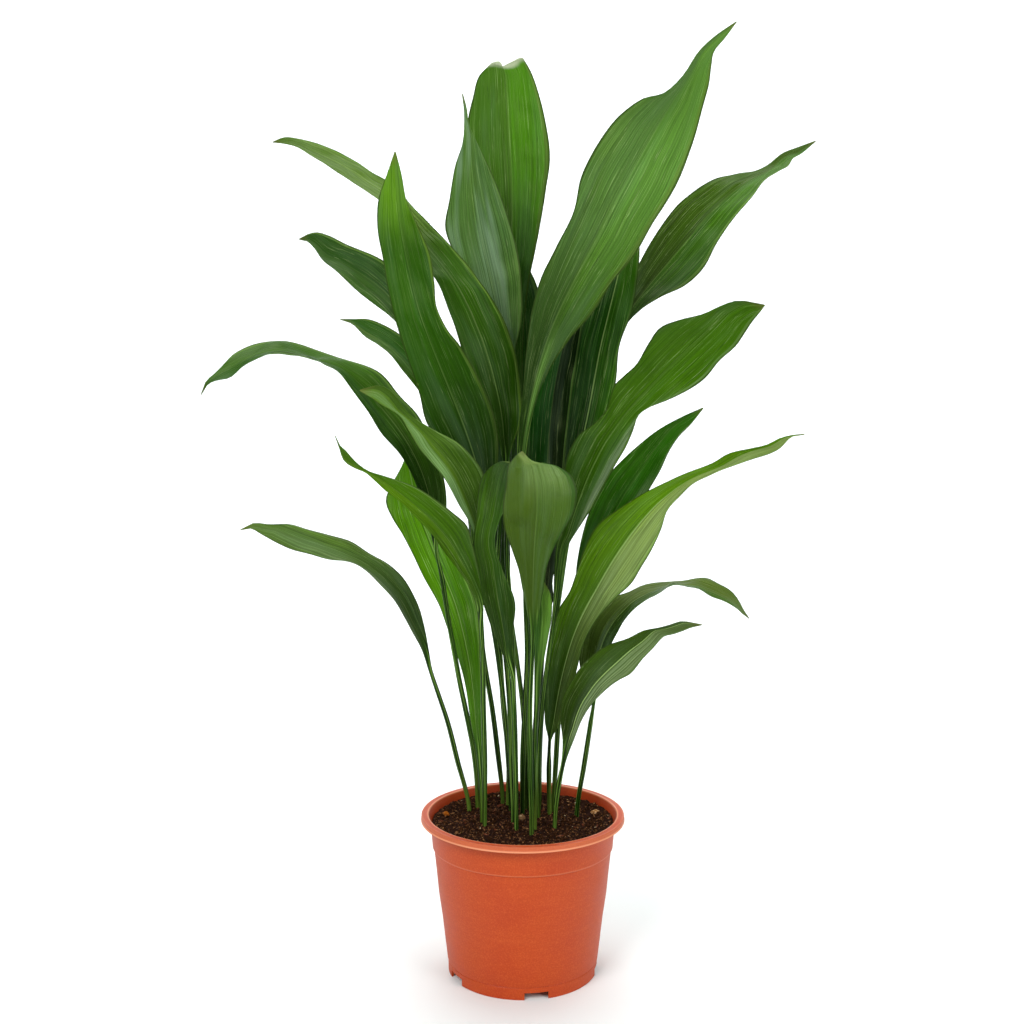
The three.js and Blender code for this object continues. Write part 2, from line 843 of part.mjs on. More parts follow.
// The pot's outer face from the ground to the collar: radius, height.
const OUTER = [
  [FOOT_RADIUS, 0],
  [FOOT_RADIUS + 0.2, FOOT_HEIGHT],
  [FOOT_RADIUS + 0.7, FOOT_HEIGHT + 0.8],
  [72.7, 29],
  [75.4, 53],
  [80.4, 94],
  [83, COLLAR_BOTTOM - 0.7],
  [84.2, COLLAR_BOTTOM + 0.5],
  [86, COLLAR_TOP],
];

// The lip's section, from the top of the collar under the ledge and the skirt, up the skirt's
// outer face and back over the ledge.
const LIP = [
  [87.8, LIP_TOP - 3.2],
  [88.8, LIP_TOP - WALL],
  [LIP_OUTER_RADIUS - WALL - 0.6, LIP_TOP - WALL],
  [LIP_OUTER_RADIUS - WALL, LIP_TOP - WALL - 0.6],
  [LIP_OUTER_RADIUS - WALL, LIP_BOTTOM],
  [LIP_OUTER_RADIUS, LIP_BOTTOM],
  [LIP_OUTER_RADIUS, LIP_TOP - 1.2],
  [LIP_OUTER_RADIUS - 0.4, LIP_TOP - 0.4],
  [LIP_OUTER_RADIUS - 1.2, LIP_TOP],
  [LIP_INNER_RADIUS + 0.7, LIP_TOP],
  [LIP_INNER_RADIUS, LIP_TOP - 0.7],
  [86.4, LIP_TOP - 3.8],
];

// The pot's inner face from under the lip down to the floor, at a distance behind the outer face.
function innerFace(behind) {
  return [
    [86 - behind, COLLAR_TOP],
    [84.2 - behind, COLLAR_BOTTOM + 1.3],
    [83 - behind, COLLAR_BOTTOM],
    [80.4 - behind, 94],
    [75.4 - behind, 53],
    [72.7 - behind, 29],
    [70.5 - behind, FLOOR_HEIGHT + behind],
  ];
}

function turned(angle, solid) {
  return solid.rotate([0, 0, angle]);
}

function potSolid() {
  const disc = CENTRE_DISC_RADIUS;
  const floor = FLOOR_HEIGHT;
  const profile = [
    ...OUTER,
    ...LIP,
    ...innerFace(WALL),
    [disc + 5, floor + WALL],
    [disc - 1, WALL],
    [0, WALL],
    [0, 0],
    [disc, 0],
    [disc + 6, floor],
    [FOOT_RADIUS - WALL - 1, floor],
    [FOOT_RADIUS - WALL - 0.6, 0],
  ];
  let pot = new wasm.CrossSection([profile]).revolve(ROUND_SIDES);
  const notch = wasm.Manifold.cube([12, NOTCH_WIDTH, NOTCH_HEIGHT + 5]).translate([
    FOOT_RADIUS - 8,
    -NOTCH_WIDTH / 2,
    -5,
  ]);
  for (let i = 0; i < NOTCHES; i++) {
    pot = pot.subtract(turned(FIRST_NOTCH_ANGLE + (360 / NOTCHES) * i, notch));
  }
  const drain = wasm.Manifold.cylinder(4 * WALL, DRAIN_HOLE_RADIUS, DRAIN_HOLE_RADIUS, 12).translate([
    DRAIN_CIRCLE_RADIUS,
    0,
    floor - WALL,
  ]);
  for (let i = 0; i < DRAIN_HOLES; i++) {
    pot = pot.subtract(turned((360 / DRAIN_HOLES) * i, drain));
  }
  return pot;
}

// The height of the soil's surface, a little uneven and banked up against the pot's wall.
function soilHeight(x, y) {
  const lumps = Math.sin(x / 11 + 1) * Math.cos(y / 13) + 0.6 * Math.sin((x + 2 * y) / 17);
  const bank = THREE.MathUtils.smoothstep(Math.hypot(x, y), BANK_FROM, SOIL_RIM);
  return SOIL_TOP + (SOIL_UNEVENNESS / 1.6) * lumps + BANK_HEIGHT * bank;
}

function soilSolid() {
  const inset = WALL + SOIL_GAP;
  const disc = CENTRE_DISC_RADIUS;
  const profile = [
    [0, inset],
    [disc - 1.3, inset],
    [disc + 4.7, FLOOR_HEIGHT + inset],
    ...innerFace(inset).slice(1).reverse(),
    [SOIL_RIM, SOIL_TOP],
    [79, SOIL_TOP],
    [74, SOIL_TOP],
    [BANK_FROM, SOIL_TOP],
    [46, SOIL_TOP],
    [23, SOIL_TOP],
    [0, SOIL_TOP],
  ];
  let soil = new wasm.CrossSection([profile]).revolve(ROUND_SIDES);
  soil = soil.warp((p) => {
    if (p[2] > SOIL_TOP - 1) p[2] = soilHeight(p[0], p[1]);
  });
  const radius = STALK_FOOT_RADIUS + HOLE_CLEARANCE;
  const holes = Object.values(LEAVES).map(({ foot }) =>
    wasm.Manifold.cylinder(SOIL_TOP, radius, radius, HOLE_SIDES).translate([
      ...foot,
      STALK_BOTTOM - HOLE_DEPTH_MARGIN,
    ]),
  );
  return soil.subtract(wasm.Manifold.union(holes));
}

function geometryOf(solid) {
  const { vertProperties, triVerts } = solid.getMesh();
  const geometry = new THREE.BufferGeometry();
  geometry.setAttribute("position", new THREE.BufferAttribute(vertProperties, 3));
  geometry.setIndex(new THREE.BufferAttribute(triVerts, 1));
  return geometry;
}

const plant = new THREE.Group();

function add(name, geometry, color, roughness) {
  geometry.computeVertexNormals();
  const material = new THREE.MeshStandardMaterial({ color, roughness, metalness: 0 });
  const mesh = new THREE.Mesh(geometry, material);
  mesh.name = name;
  plant.add(mesh);
}

add("pot", geometryOf(potSolid()), 0xc2502a, 0.55);
add("soil", geometryOf(soilSolid()), 0x3a2a1e, 0.95);
for (const [name, leaf] of Object.entries(LEAVES)) add(name, leafGeometry(leaf), leaf.colour, 0.5);

export default plant;
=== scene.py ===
import math
import random
from functools import partial
from types import SimpleNamespace

import bpy
import numpy as np
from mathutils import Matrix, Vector


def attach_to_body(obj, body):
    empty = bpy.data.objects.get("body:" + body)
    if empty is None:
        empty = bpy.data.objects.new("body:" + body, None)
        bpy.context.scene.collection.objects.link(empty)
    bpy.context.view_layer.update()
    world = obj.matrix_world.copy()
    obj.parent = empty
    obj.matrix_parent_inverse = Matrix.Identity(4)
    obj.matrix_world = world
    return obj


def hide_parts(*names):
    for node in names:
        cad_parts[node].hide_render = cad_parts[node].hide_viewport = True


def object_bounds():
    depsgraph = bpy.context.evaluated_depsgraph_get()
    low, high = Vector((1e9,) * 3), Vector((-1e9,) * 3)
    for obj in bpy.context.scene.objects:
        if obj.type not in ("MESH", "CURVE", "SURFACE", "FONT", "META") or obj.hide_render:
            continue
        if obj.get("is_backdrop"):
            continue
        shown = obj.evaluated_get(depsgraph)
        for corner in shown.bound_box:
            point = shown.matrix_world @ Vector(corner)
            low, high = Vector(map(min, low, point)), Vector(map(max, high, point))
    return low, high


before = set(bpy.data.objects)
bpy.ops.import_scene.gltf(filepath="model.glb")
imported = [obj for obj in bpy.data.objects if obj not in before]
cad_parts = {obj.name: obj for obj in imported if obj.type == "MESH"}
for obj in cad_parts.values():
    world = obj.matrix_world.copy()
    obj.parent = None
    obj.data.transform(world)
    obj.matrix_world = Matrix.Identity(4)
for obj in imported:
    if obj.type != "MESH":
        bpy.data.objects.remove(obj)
bpy.ops.object.select_all(action="DESELECT")
cad_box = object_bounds()

# A cast iron plant in a round plastic nursery pot. Blender's metres, +Z up, -Y towards the viewer;
# sizes are in millimetres and are turned to metres where a mesh gets its points.
# The leaves are grown from rows of edge points, the pot is spun, and the soil is a crumbly
# disc with loose bits on it.

MM = 0.001
FULL_TURN = 2 * math.pi
ANY_TURN = 6.3  # upper limit of a drawn turn, a little past a full one

# The eye that the leaf rows are laid out for; the camera stands there too.
EYE_DISTANCE = 1200  # before the pot's axis
EYE_HEIGHT = 555
EYE_X = -10
EYE_TILT = 5.83  # degrees below level
LENS = 46.37
SENSOR_WIDTH = 36

# The clump opens out towards the top: depths are stretched about its middle.
CLUMP_MIDDLE = 20
CLUMP_STRETCH = 0.8
STRETCH_FROM = 150
STRETCH_FULL_AT = 500

# Leaves
STALK_RADIUS = 2.1  # at the blade
STALK_FOOT_RADIUS = 2.7  # where it leaves the soil
# The stalk's lower end and where it leaves the soil: height, and share of the foot's radius
FOOT_TAPER = ((114, 0.72), (140, 0.76))
STALK_MERGE_WIDTH = 8  # half width at which the stalk has flattened out into the blade
RIB_THICKNESS = 0.8
EDGE_THICKNESS = 0.5
RIM_SQUARENESS = 6  # 2 would round the edge off over the whole blade
FULL_THICKNESS_FROM = 3  # half width of blade; narrower ones are thinner, down to the least share
LEAST_THICKNESS = 0.35
FOLD = 0.18  # depth of the trough along the rib, as a share of the half width
FOLD_ROUNDNESS = 1.4  # 1 is a sharp V, 2 a round trough
RING_POINTS = 32
STATION_SPACING = 5.5
LAST_STATION = 0.4  # the last ring lies this far before the leaf's end and closes it
STRAIGHTENING_REACH = 55  # over which the rib's line is averaged
MOST_RIB_DRIFT = 0.35  # as a share of the half width
TIP_WIDTH = 1.2
EDGE_GAIN = 0.45  # how much fuller each edge is than the straight-sided solid's
EDGE_WAVE = 0.9  # height of the small waves along a blade's edges
WAVE_LENGTHS = (95, 52, 31)
WAVE_FULL_LENGTH = 120  # shorter waves are lower, in proportion
WAVES_START = 4  # half width of blade from which the waves come up
WAVES_FULL = 18
BUCKLE = 0.9  # height of the shallow buckles in its halves
BUCKLES = ((61, 2.2), (43, -3.1), (29, 4.0))  # their lengths, and how far they slant across
BUCKLE_FULL_LENGTH = 60  # shorter buckles are lower, in proportion
BULGE_GAIN = 2.6  # brings the height of the curve between rib and edge to 1
TORN_RINGS = 2  # how many rings a torn tip is uneven over

# foot: x, y at the soil. tip and stalk: across, up, depth. blade: across and up of the left edge,
# then of the right one, depth of the middle, and how much farther back the right edge lies.
# torn: how far a tip that is torn off reaches past the last row, from its left edge to its right.
LEAVES = {
    "leaf_01": dict(
        foot=(0, 32), tip=(188, 867, -12),
        stalk=(
            (0, 200, 28), (2, 250, 23), (4, 300, 20), (2.5, 350, 18), (2, 400, 16), (1, 450, 14),
        ),
        blade=(
            (-5, 488, 3, 486, 14, 0), (-3, 512, 6, 510, 14, 0), (0, 540, 12, 535, 13, 2),
            (3, 576, 27, 568, 12, 4), (8, 612, 43, 591, 11, 6), (16, 643, 62, 612, 9, 8),
            (31, 673, 81, 642, 6, 8), (45, 701, 99, 663.5, 3, 8), (52, 733, 116.5, 693, 0, 10),
            (67, 762, 136.5, 726.5, -3, 10), (88, 788, 150, 761.5, -6, 12),
            (107, 801, 158.5, 789.5, -9, 12), (125, 806.5, 164, 812, -11, 10),
            (143, 823, 165.5, 828, -12, 8), (155, 841, 168, 841, -13, 4), (168, 853.5, 177, 852, -13, 2),
        ),
    ),
    "leaf_02": dict(
        foot=(4, 44),
        torn=(-2.2, -1.3, -0.8, 0, 0.6, 1, 0.3, -1.5, -5.4, -6.2, -6.2, -6, -5.2, -4, 0.6, 1.2, -0.5),
        stalk=(
            (4, 200, 46), (6, 250, 50), (7, 300, 54), (5, 350, 58), (2, 400, 62), (-2, 450, 66),
            (-5, 500, 70),
        ),
        blade=(
            (-12, 545, -1, 545, 74, 0), (-18, 590, 0, 590, 78, 0), (-25, 630, 5, 640, 82, -2),
            (-33, 685, 13.5, 682, 88, -4), (-40, 722, 20, 722, 93, -6), (-46, 755, 23.5, 752, 98, -6),
            (-49, 780, 20, 778, 103, -6), (-44, 802, 14, 803, 107, -4), (-38, 822, 6, 825, 111, -2),
            (-28, 833, -0.5, 836, 114, 0),
        ),
    ),
    "leaf_03": dict(
        foot=(-7, 22), tip=(-54, 805, 55),
        stalk=(
            (-7.5, 200, 24), (-8.5, 250, 26), (-9.5, 300, 28), (-12, 350, 30), (-15, 400, 32),
            (-14, 430, 33), (-13, 470, 35), (-12, 510, 38),
        ),
        blade=(
            (-15, 545, -9, 545, 41, 6), (-24, 572, -8, 577, 44, 6), (-36, 605, -1.5, 607, 47, 6),
            (-48, 635, -1.5, 637, 50, 6), (-60, 662, -5, 665, 52, 6), (-69.5, 688, -12, 691, 53, 6),
            (-65, 715, -20, 716, 54, 6), (-60.5, 742, -31, 741, 54, 4), (-53.5, 763, -41, 762, 54, 2),
            (-52.2, 779, -48.5, 779, 54.5, 0), (-52.5, 792, -50.5, 793, 54.5, 0),
        ),
    ),
    "leaf_04": dict(
        foot=(-14, 54), tip=(-223, 763, 105),
        stalk=(
            (-13, 200, 52), (-18, 250, 46), (-21, 300, 40), (-24, 350, 35), (-22, 400, 31),
            (-19, 440, 28), (-16, 470, 26),
        ),
        blade=(
            (-20, 490, -11, 490, 25, 2), (-27, 510, -2, 516, 24, 4), (-37, 533, -2.5, 545, 24, 6),
            (-48, 558, -6.5, 572, 24, 8), (-57, 586, -15, 600, 25, 8), (-66, 614, -29, 627, 27, 10),
            (-77, 641, -46, 650, 31, 10), (-92, 658, -70, 677, 37, 12), (-108, 681, -91, 699, 45, 12),
            (-127, 711, -117, 725.5, 55, 12), (-145, 723, -135, 737, 64, 12),
            (-165, 737, -157, 751, 74, 12), (-185, 749, -179, 760, 84, 8),
            (-203, 759.5, -200, 766, 94, 4), (-214, 762, -213, 767, 100, 2),
        ),
    ),
    "leaf_05": dict(
        foot=(-9, 8), tip=(-114, 755, 24),
        stalk=(
            (-11, 200, 10), (-12, 250, 11), (-16, 300, 12), (-22, 350, 14), (-33, 400, 13),
            (-34, 435, 11),
        ),
        blade=(
            (-44, 455, -27, 459, 10, -2), (-56, 473, -23, 480, 8, -4), (-73, 493, -24, 507, 6, -4),
            (-87, 514, -31, 533, 5, -4), (-93.5, 539.5, -43, 559, 5, -4), (-101, 563, -57, 583, 6, -4),
            (-109, 587, -69, 598, 7, -4), (-116, 611, -78, 617, 8, -4), (-122, 638, -80, 640, 10, -4),
            (-126, 663, -84, 665, 12, -4), (-130, 690, -95, 691, 15, -4),
            (-129, 713, -104.5, 712, 18, -2), (-122, 733, -108.5, 734, 21, -2),
        ),
    ),
    "leaf_06": dict(
        foot=(-37, 38), tip=(-201, 678, 95),
        stalk=(
            (-36.5, 200, 40), (-36.8, 250, 42), (-37.3, 300, 44), (-40.5, 345, 46), (-45, 400, 48),
            (-50, 450, 50), (-60, 485, 52), (-74, 518, 54),
        ),
        blade=(
            (-99, 570, -88, 578, 59, 6), (-104, 592, -90, 612, 62, 10), (-120, 610, -103, 636, 66, 10),
            (-137, 623, -124, 658, 71, 10), (-153, 636, -145, 668, 76, 10),
            (-168, 650, -161, 674, 81, 10), (-180, 660, -174, 681, 86, 8),
            (-189, 672.5, -187, 684, 90, 4), (-196, 677.5, -196, 681, 93, 2),
        ),
    ),
    "leaf_07": dict(
        foot=(-19, 61.5), tip=(-165, 607, 90),
        stalk=(
            (-23, 205, 63), (-28.5, 250, 65), (-35, 290, 66), (-40, 330, 67), (-45, 380, 68),
            (-49, 430, 69), (-57, 470, 70), (-70, 505, 71),
        ),
        blade=(
            (-84, 528, -77, 534, 72, 4), (-96, 545, -85, 560, 74, 8), (-107, 559, -96, 578, 76, 10),
            (-118, 574, -109, 592, 79, 10), (-130, 584, -124, 601, 82, 8), (-143, 592, -139, 607, 85, 6),
            (-154, 603, -153, 607, 88, 2),
        ),
    ),
    "leaf_08": dict(
        foot=(-43.4, 47.5), tip=(-292, 539, -56),
        stalk=(
            (-44.5, 200, 36), (-53.5, 250, 27), (-58, 272, 24), (-63, 300, 20), (-69, 335, 17),
            (-74, 370, 14), (-80, 402, 11),
        ),
        blade=(
            (-86, 420, -74, 417, 10, 3), (-94, 447, -70, 440, 8, 5), (-101, 467, -73, 466, 6, 6),
            (-112, 486, -82, 492, 4, 8), (-127, 503, -94.5, 518, 2, 10), (-141, 524, -112.5, 539, 0, 12),
            (-153, 541.5, -129, 559, -4, 14), (-166, 560, -153.5, 569, -8, 18),
            (-185.5, 570.5, -183.5, 577.5, -13, 22), (-203, 575, -203, 585, -18, 22),
            (-222, 577.5, -222, 589, -24, 20), (-240, 573, -243, 584.5, -30, 18),
            (-254, 564.5, -261, 576, -37, 12), (-266, 554.5, -271, 566, -43, 8),
            (-278, 552, -279.5, 558, -48, 6), (-285, 549, -286.5, 552, -52, 2),
        ),
    ),
    "leaf_09": dict(
        foot=(-11, 40), tip=(-148, 543.5, -33),
        stalk=(
            (-13, 195, 32), (-16, 235, 22), (-20, 275, 12), (-24, 305, 5), (-29, 335, 0), (-34, 370, -3),
        ),
        blade=(
            (-42, 402, -35, 404, -7, 4), (-49, 424, -34, 430, -9, 8), (-59.5, 441.5, -33, 455, -11, 8),
            (-72, 464, -38, 472, -13, 10), (-86, 481, -50, 487, -15, 10), (-95, 492, -63, 498, -17, 12),
            (-104, 508, -80, 507, -19, 12), (-111, 519.5, -96, 516.5, -21, 10),
            (-121, 526, -107, 526, -23, 10), (-130, 531, -116, 539, -26, 8),
            (-138, 537, -127, 547, -29, 6), (-143, 540, -138, 547, -31, 2),
        ),
    ),
    "leaf_10": dict(
        foot=(-35.6, -3.2), tip=(-171, 502.5, -82),
        stalk=(
            (-35.5, 200, -6), (-36.5, 250, -12), (-37, 300, -21), (-38.5, 332, -27),
        ),
        blade=(
            (-42, 346, -37, 352, -30, 4), (-48, 362, -41, 378, -32, 6), (-60, 380, -46, 400, -34, 6),
            (-72, 396, -51, 419, -37, 6), (-83, 412, -65, 432, -41, 6), (-96, 426, -81, 444.5, -46, 6),
            (-110, 441, -98, 455, -51, 6), (-125, 452, -115, 461.5, -56, 4),
            (-135, 461.5, -131, 466.5, -61, 2), (-143, 468.5, -141, 469.8, -65, 0),
            (-150, 471.5, -150, 476, -69, 2), (-157, 475, -156, 482, -73, 2),
            (-163.5, 480.5, -162, 489, -77, 2), (-166.5, 489, -166, 492.5, -80, 0),
        ),
    ),
    "leaf_11": dict(
        foot=(-38, 9), tip=(-104, 490, 55),
        stalk=(
            (-39.5, 185, 10),
        ),
        blade=(
            (-43.5, 212, -38, 212, 12, -2), (-48, 236, -38, 236, 18, -4),
            (-52.5, 268, -38.5, 266, 24, -6), (-60, 298, -40, 298, 30, -6), (-69, 324, -40, 322, 34, -6),
            (-77, 347, -43, 346, 38, -6), (-90, 370, -53, 372, 41, -6), (-100, 392, -62, 396, 44, -6),
            (-110, 412, -70, 416, 47, -6), (-119, 427, -78, 430, 48, -6), (-125, 446, -87, 450, 51, -6),
            (-118, 461, -94, 464, 53, -4), (-111, 473, -99, 475, 54, -2),
        ),
    ),
    "leaf_12": dict(
        foot=(-51.4, 40), tip=(-259, 416, 8),
        stalk=(
            (-61, 200, 42), (-70, 237, 41), (-79, 265, 40), (-86, 287, 39),
        ),
        blade=(
            (-92.5, 303, -87, 303, 38, 2), (-102, 321.5, -91, 325.5, 37, 4),
            (-109, 335, -95, 341.5, 36, 6), (-117.5, 350, -102, 358, 35, 8),
            (-129, 363.5, -111, 372, 33, 10), (-142, 376.5, -123.5, 384, 31, 10),
            (-157.5, 386, -140, 394, 29, 10), (-176, 388.5, -157.5, 405, 26, 10),
            (-194, 393.5, -177.5, 411, 23, 10), (-211, 398, -197, 416, 20, 10),
            (-226, 404.5, -214, 421, 17, 8), (-240, 412.5, -233, 421, 14, 4),
            (-249, 417.5, -247, 422, 11, 2),
        ),
    ),
    "leaf_13": dict(
        foot=(-5.9, -14.9), tip=(-8, 476, -70),
        stalk=(
            (-6.8, 200, -15), (-8, 250, -16), (-9.5, 280, -17),
        ),
        blade=(
            (-19, 302, -9.5, 300, -18, -2), (-29, 326, -9, 324, -19, -4), (-37, 350, -7.5, 349, -20, -4),
            (-42, 378, -18, 376, -21, -4), (-45, 402, -26, 402, -24, -4), (-42.5, 428, -22, 424, -30, -4),
            (-40.5, 450, -13, 442, -38, -4), (-37, 464, -8, 456, -46, -4), (-29, 474, -4, 466, -54, -4),
            (-19, 478.5, -3, 472, -62, -2),
        ),
    ),
    "leaf_14": dict(
        foot=(8.1, -25.1), tip=(-0.5, 488, -200), fold=-0.1, stretch=0,
        stalk=(
            (7, 200, -27), (6.5, 250, -29), (8, 290, -32), (9.5, 318, -36),
        ),
        blade=(
            (3, 346, 16, 346, -42, 0), (0, 361, 18.5, 361, -47, 0), (-3.5, 379, 21, 379, -54, 0),
            (-10, 398.5, 28, 399, -63, 0), (-16.4, 417.6, 37.5, 417.5, -76, 0),
            (-18, 431, 46, 432, -88, 0), (-17.6, 442, 49, 447, -100, 0), (-15.2, 456, 47.5, 457, -115, 0),
            (-14.2, 468, 42, 467.5, -132, 0), (-13, 476, 31, 475.8, -150, 0),
            (-10, 480, 18, 477.2, -168, 0), (-5, 485, 7, 480.5, -185, 0),
        ),
    ),
    "leaf_15": dict(
        foot=(16, 46), tip=(103, 690, 46),
        stalk=(
            (13, 200, 44), (15, 250, 44), (18, 300, 44), (21, 350, 44), (25, 400, 44),
        ),
        blade=(
            (28, 432, 40, 428, 43, -2), (33, 462, 56, 462, 43, -4), (37, 495, 70, 495, 42, -6),
            (41, 525, 79, 527, 42, -6), (45, 553, 84, 553, 42, -6), (49, 582, 86.5, 582, 42, -6),
            (55, 613, 97, 613, 43, -6), (66, 640, 102, 640, 44, -4), (80, 664, 104, 664, 45, -2),
        ),
    ),
    "leaf_16": dict(
        foot=(11, 36), tip=(64, 682, 32),
        stalk=(
            (10, 200, 34), (13, 250, 32), (17, 300, 31), (20, 335, 30),
        ),
        blade=(
            (15, 352, 27.5, 350, 30, -2), (13, 372, 27, 370, 30, -4), (12.5, 387, 31, 386, 30, -4),
            (12, 402, 34, 402, 29, -6), (6, 440, 35.5, 440, 29, -6), (5, 470, 37, 468, 28, -6),
            (4, 500, 39, 498, 28, -6), (6, 530, 42.5, 528, 28, -6), (12, 560, 46, 556, 28, -6),
            (20, 590, 50.5, 585, 29, -6), (32, 622, 56, 617, 30, -4), (46, 650, 66, 642, 31, -2),
        ),
    ),
    "leaf_17": dict(
        foot=(17, 57.5), tip=(260, 764, 130),
        stalk=(
            (15.5, 200, 56), (18, 250, 57), (23, 290, 58), (30, 330, 59), (35, 365, 60), (40, 400, 61),
            (48, 440, 62), (57, 480, 63), (68, 520, 64), (79, 555, 65),
        ),
        blade=(
            (79, 580, 85.5, 577, 66, -2), (84, 606, 91, 599.5, 67, -4), (92, 630, 105.5, 615.5, 69, -8),
            (102, 652, 122, 626, 72, -8), (112, 671, 143, 636, 76, -8), (124, 690, 161, 652, 81, -8),
            (138.5, 708, 174, 676, 87, -8), (155, 722, 188.5, 697, 93, -8),
            (172, 731.5, 203.5, 715, 99, -8), (189, 735, 214.5, 729, 105, -6),
            (205.5, 737.5, 227.5, 737.5, 111, -4), (218, 743.5, 235.5, 742, 116, -4),
            (231, 753.5, 240, 749, 121, -2), (243, 758, 247, 753, 125, -2),
        ),
    ),
    "leaf_18": dict(
        foot=(15, 18), tip=(217.5, 620, -68),
        stalk=(
            (14.8, 200, 14), (18, 250, 9), (24, 300, 4), (29.5, 343, 1),
        ),
        blade=(
            (28.8, 364, 35, 362, -1, 0), (29.2, 385, 37.6, 383, -3, -1), (31, 405, 41, 401, -6, -2),
            (34, 425, 51, 418, -9, -4), (36, 447, 63, 437, -12, -6), (38, 470, 74, 457, -15, -8),
            (42, 488, 84, 476, -17, -8), (52, 503.5, 94, 493, -19, -8), (66, 514, 100, 508, -20, -8),
            (76, 526, 103.5, 519.5, -21, -8), (82, 546, 113, 527.5, -23, -8),
            (92, 556.5, 132, 535, -26, -8), (103, 567, 151.5, 545, -30, -8),
            (113, 584, 165, 555, -35, -8), (124, 599.5, 177, 570, -40, -8),
            (142, 606.5, 191, 582.5, -46, -8), (162, 611.5, 200, 595.5, -52, -8),
            (180, 619.5, 207, 606, -58, -6), (194, 623.5, 213, 613.5, -63, -4),
        ),
    ),
    "leaf_19": dict(
        foot=(30, 38), tip=(163.5, 527.5, 20),
        stalk=(
            (31, 200, 37), (34, 250, 35), (39, 300, 33), (45, 340, 31),
        ),
        blade=(
            (48, 362, 58, 358, 30, -2), (50, 385, 70, 378, 29, -4), (54, 408, 82, 398, 28, -6),
            (60, 430, 94, 418, 27, -6), (69, 450, 106, 438, 26, -6), (79, 467, 116, 455, 25, -6),
            (92, 481, 125, 471, 24, -6), (107, 495, 132, 487, 23, -6), (124, 508, 141, 501, 22, -4),
            (143, 518.5, 152, 512.5, 21, -2),
        ),
    ),
    "leaf_20": dict(
        foot=(25.9, 30.8), tip=(256, 503.5, -62),
        stalk=(
            (24.5, 195, 26), (25.5, 222, 23),
        ),
        blade=(
            (21.5, 232, 33, 232, 21, -4), (20.5, 256, 40, 256, 19, -6), (22, 282, 48, 279, 17, -8),
            (26, 312, 55, 308, 15, -10), (33, 342, 67, 332, 12, -10), (44, 360, 84, 352, 9, -10),
            (51, 381, 99, 366, 6, -10), (58, 402, 108, 381, 3, -10), (69, 421, 118, 398, 0, -10),
            (85, 433.5, 126, 416, -4, -10), (101, 444, 131, 433, -8, -10),
            (120, 454.5, 144.5, 448.5, -13, -10), (137, 463, 156, 459, -18, -10),
            (152, 469.5, 173, 467, -24, -10), (172, 477, 191, 474.5, -30, -10),
            (188, 486, 209, 481, -37, -10), (206.5, 490.5, 225, 486, -44, -8),
            (222, 494, 234, 491, -50, -6), (234, 500, 240, 497.5, -55, -4),
            (243, 502.3, 244, 501.3, -58, 0),
        ),
    ),
    "leaf_21": dict(
        foot=(51.8, 22.9), tip=(209, 333.5, 69),
        stalk=(
            (58, 200, 25), (63, 235, 27), (66, 258, 29),
        ),
        blade=(
            (54, 285, 74, 283, 32, -5), (53.5, 310, 81, 308, 33, -8), (61, 330, 87, 321, 34, -8),
            (74, 345, 93, 332, 35, -10), (84, 354, 101, 341.5, 36, -12), (97, 358.5, 112, 349.5, 38, -14),
            (109.5, 364, 122, 355.5, 41, -16), (124, 367, 131, 361, 44, -18),
            (137, 368.5, 139, 366.8, 47, -18), (148, 369, 151, 364, 50, -16),
            (160, 371.5, 163, 361.5, 53, -14), (170, 371.5, 173, 355, 56, -14),
            (180, 366.5, 182, 351, 59, -12), (190, 360.5, 191, 347, 62, -10),
            (198, 351.5, 198, 342.5, 65, -8), (204, 341, 203, 338, 67, -4),
        ),
    ),
    "leaf_22": dict(
        foot=(29.7, -9.8), tip=(165.5, 328, -68),
        stalk=(
            (34, 178, -8), (38, 198, -9),
        ),
        blade=(
            (37.5, 218, 47, 218.5, -11, -2), (35.5, 240, 56, 241, -13, -4), (37, 259, 66, 256, -15, -6),
            (44, 273, 79, 269, -18, -8), (54, 288, 89, 276, -21, -8), (67, 301, 99.5, 282, -25, -8),
            (82, 310, 110.5, 296, -30, -8), (98, 315.5, 120, 306, -36, -8),
            (112, 322.5, 130, 317, -42, -8), (125.5, 325, 138, 319, -49, -6),
            (136.5, 328, 147, 322, -56, -4), (146.5, 331, 154, 325, -62, -2),
        ),
    ),
    "leaf_23": dict(
        foot=(2, 60), tip=(-34, 690, 120),
        stalk=(
            (3, 200, 60), (0, 250, 63), (-6, 300, 66), (-12, 345, 69),
        ),
        blade=(
            (-18, 372, -12, 371, 71, 0), (-24, 390, -12, 390, 72, 0), (-28, 412, -12, 412, 74, 0),
            (-29, 440, -7, 440, 77, 0), (-28, 470, 3, 468, 80, 0), (-26, 500, 7, 498, 83, 0),
            (-25, 530, 8, 530, 86, 0), (-26, 570, 10, 570, 91, 0), (-38, 610, 16, 605, 98, 0),
            (-44, 640, 11, 640, 106, 0), (-42, 662, -4, 664, 112, 0),
        ),
    ),
    "leaf_24": dict(
        foot=(11, -12), tip=(17.5, 371, -20),
        stalk=(
            (11, 190, -13), (12, 235, -13),
        ),
        blade=(
            (11, 262, 15.5, 262, -14, 0), (11, 287, 18, 287, -15, -2), (11, 316, 23, 316, -16, -2),
            (10.5, 338, 26.3, 337, -17, -2), (11, 353, 26, 353, -18, -2), (13, 364, 23, 362, -19, -2),
        ),
    ),
}

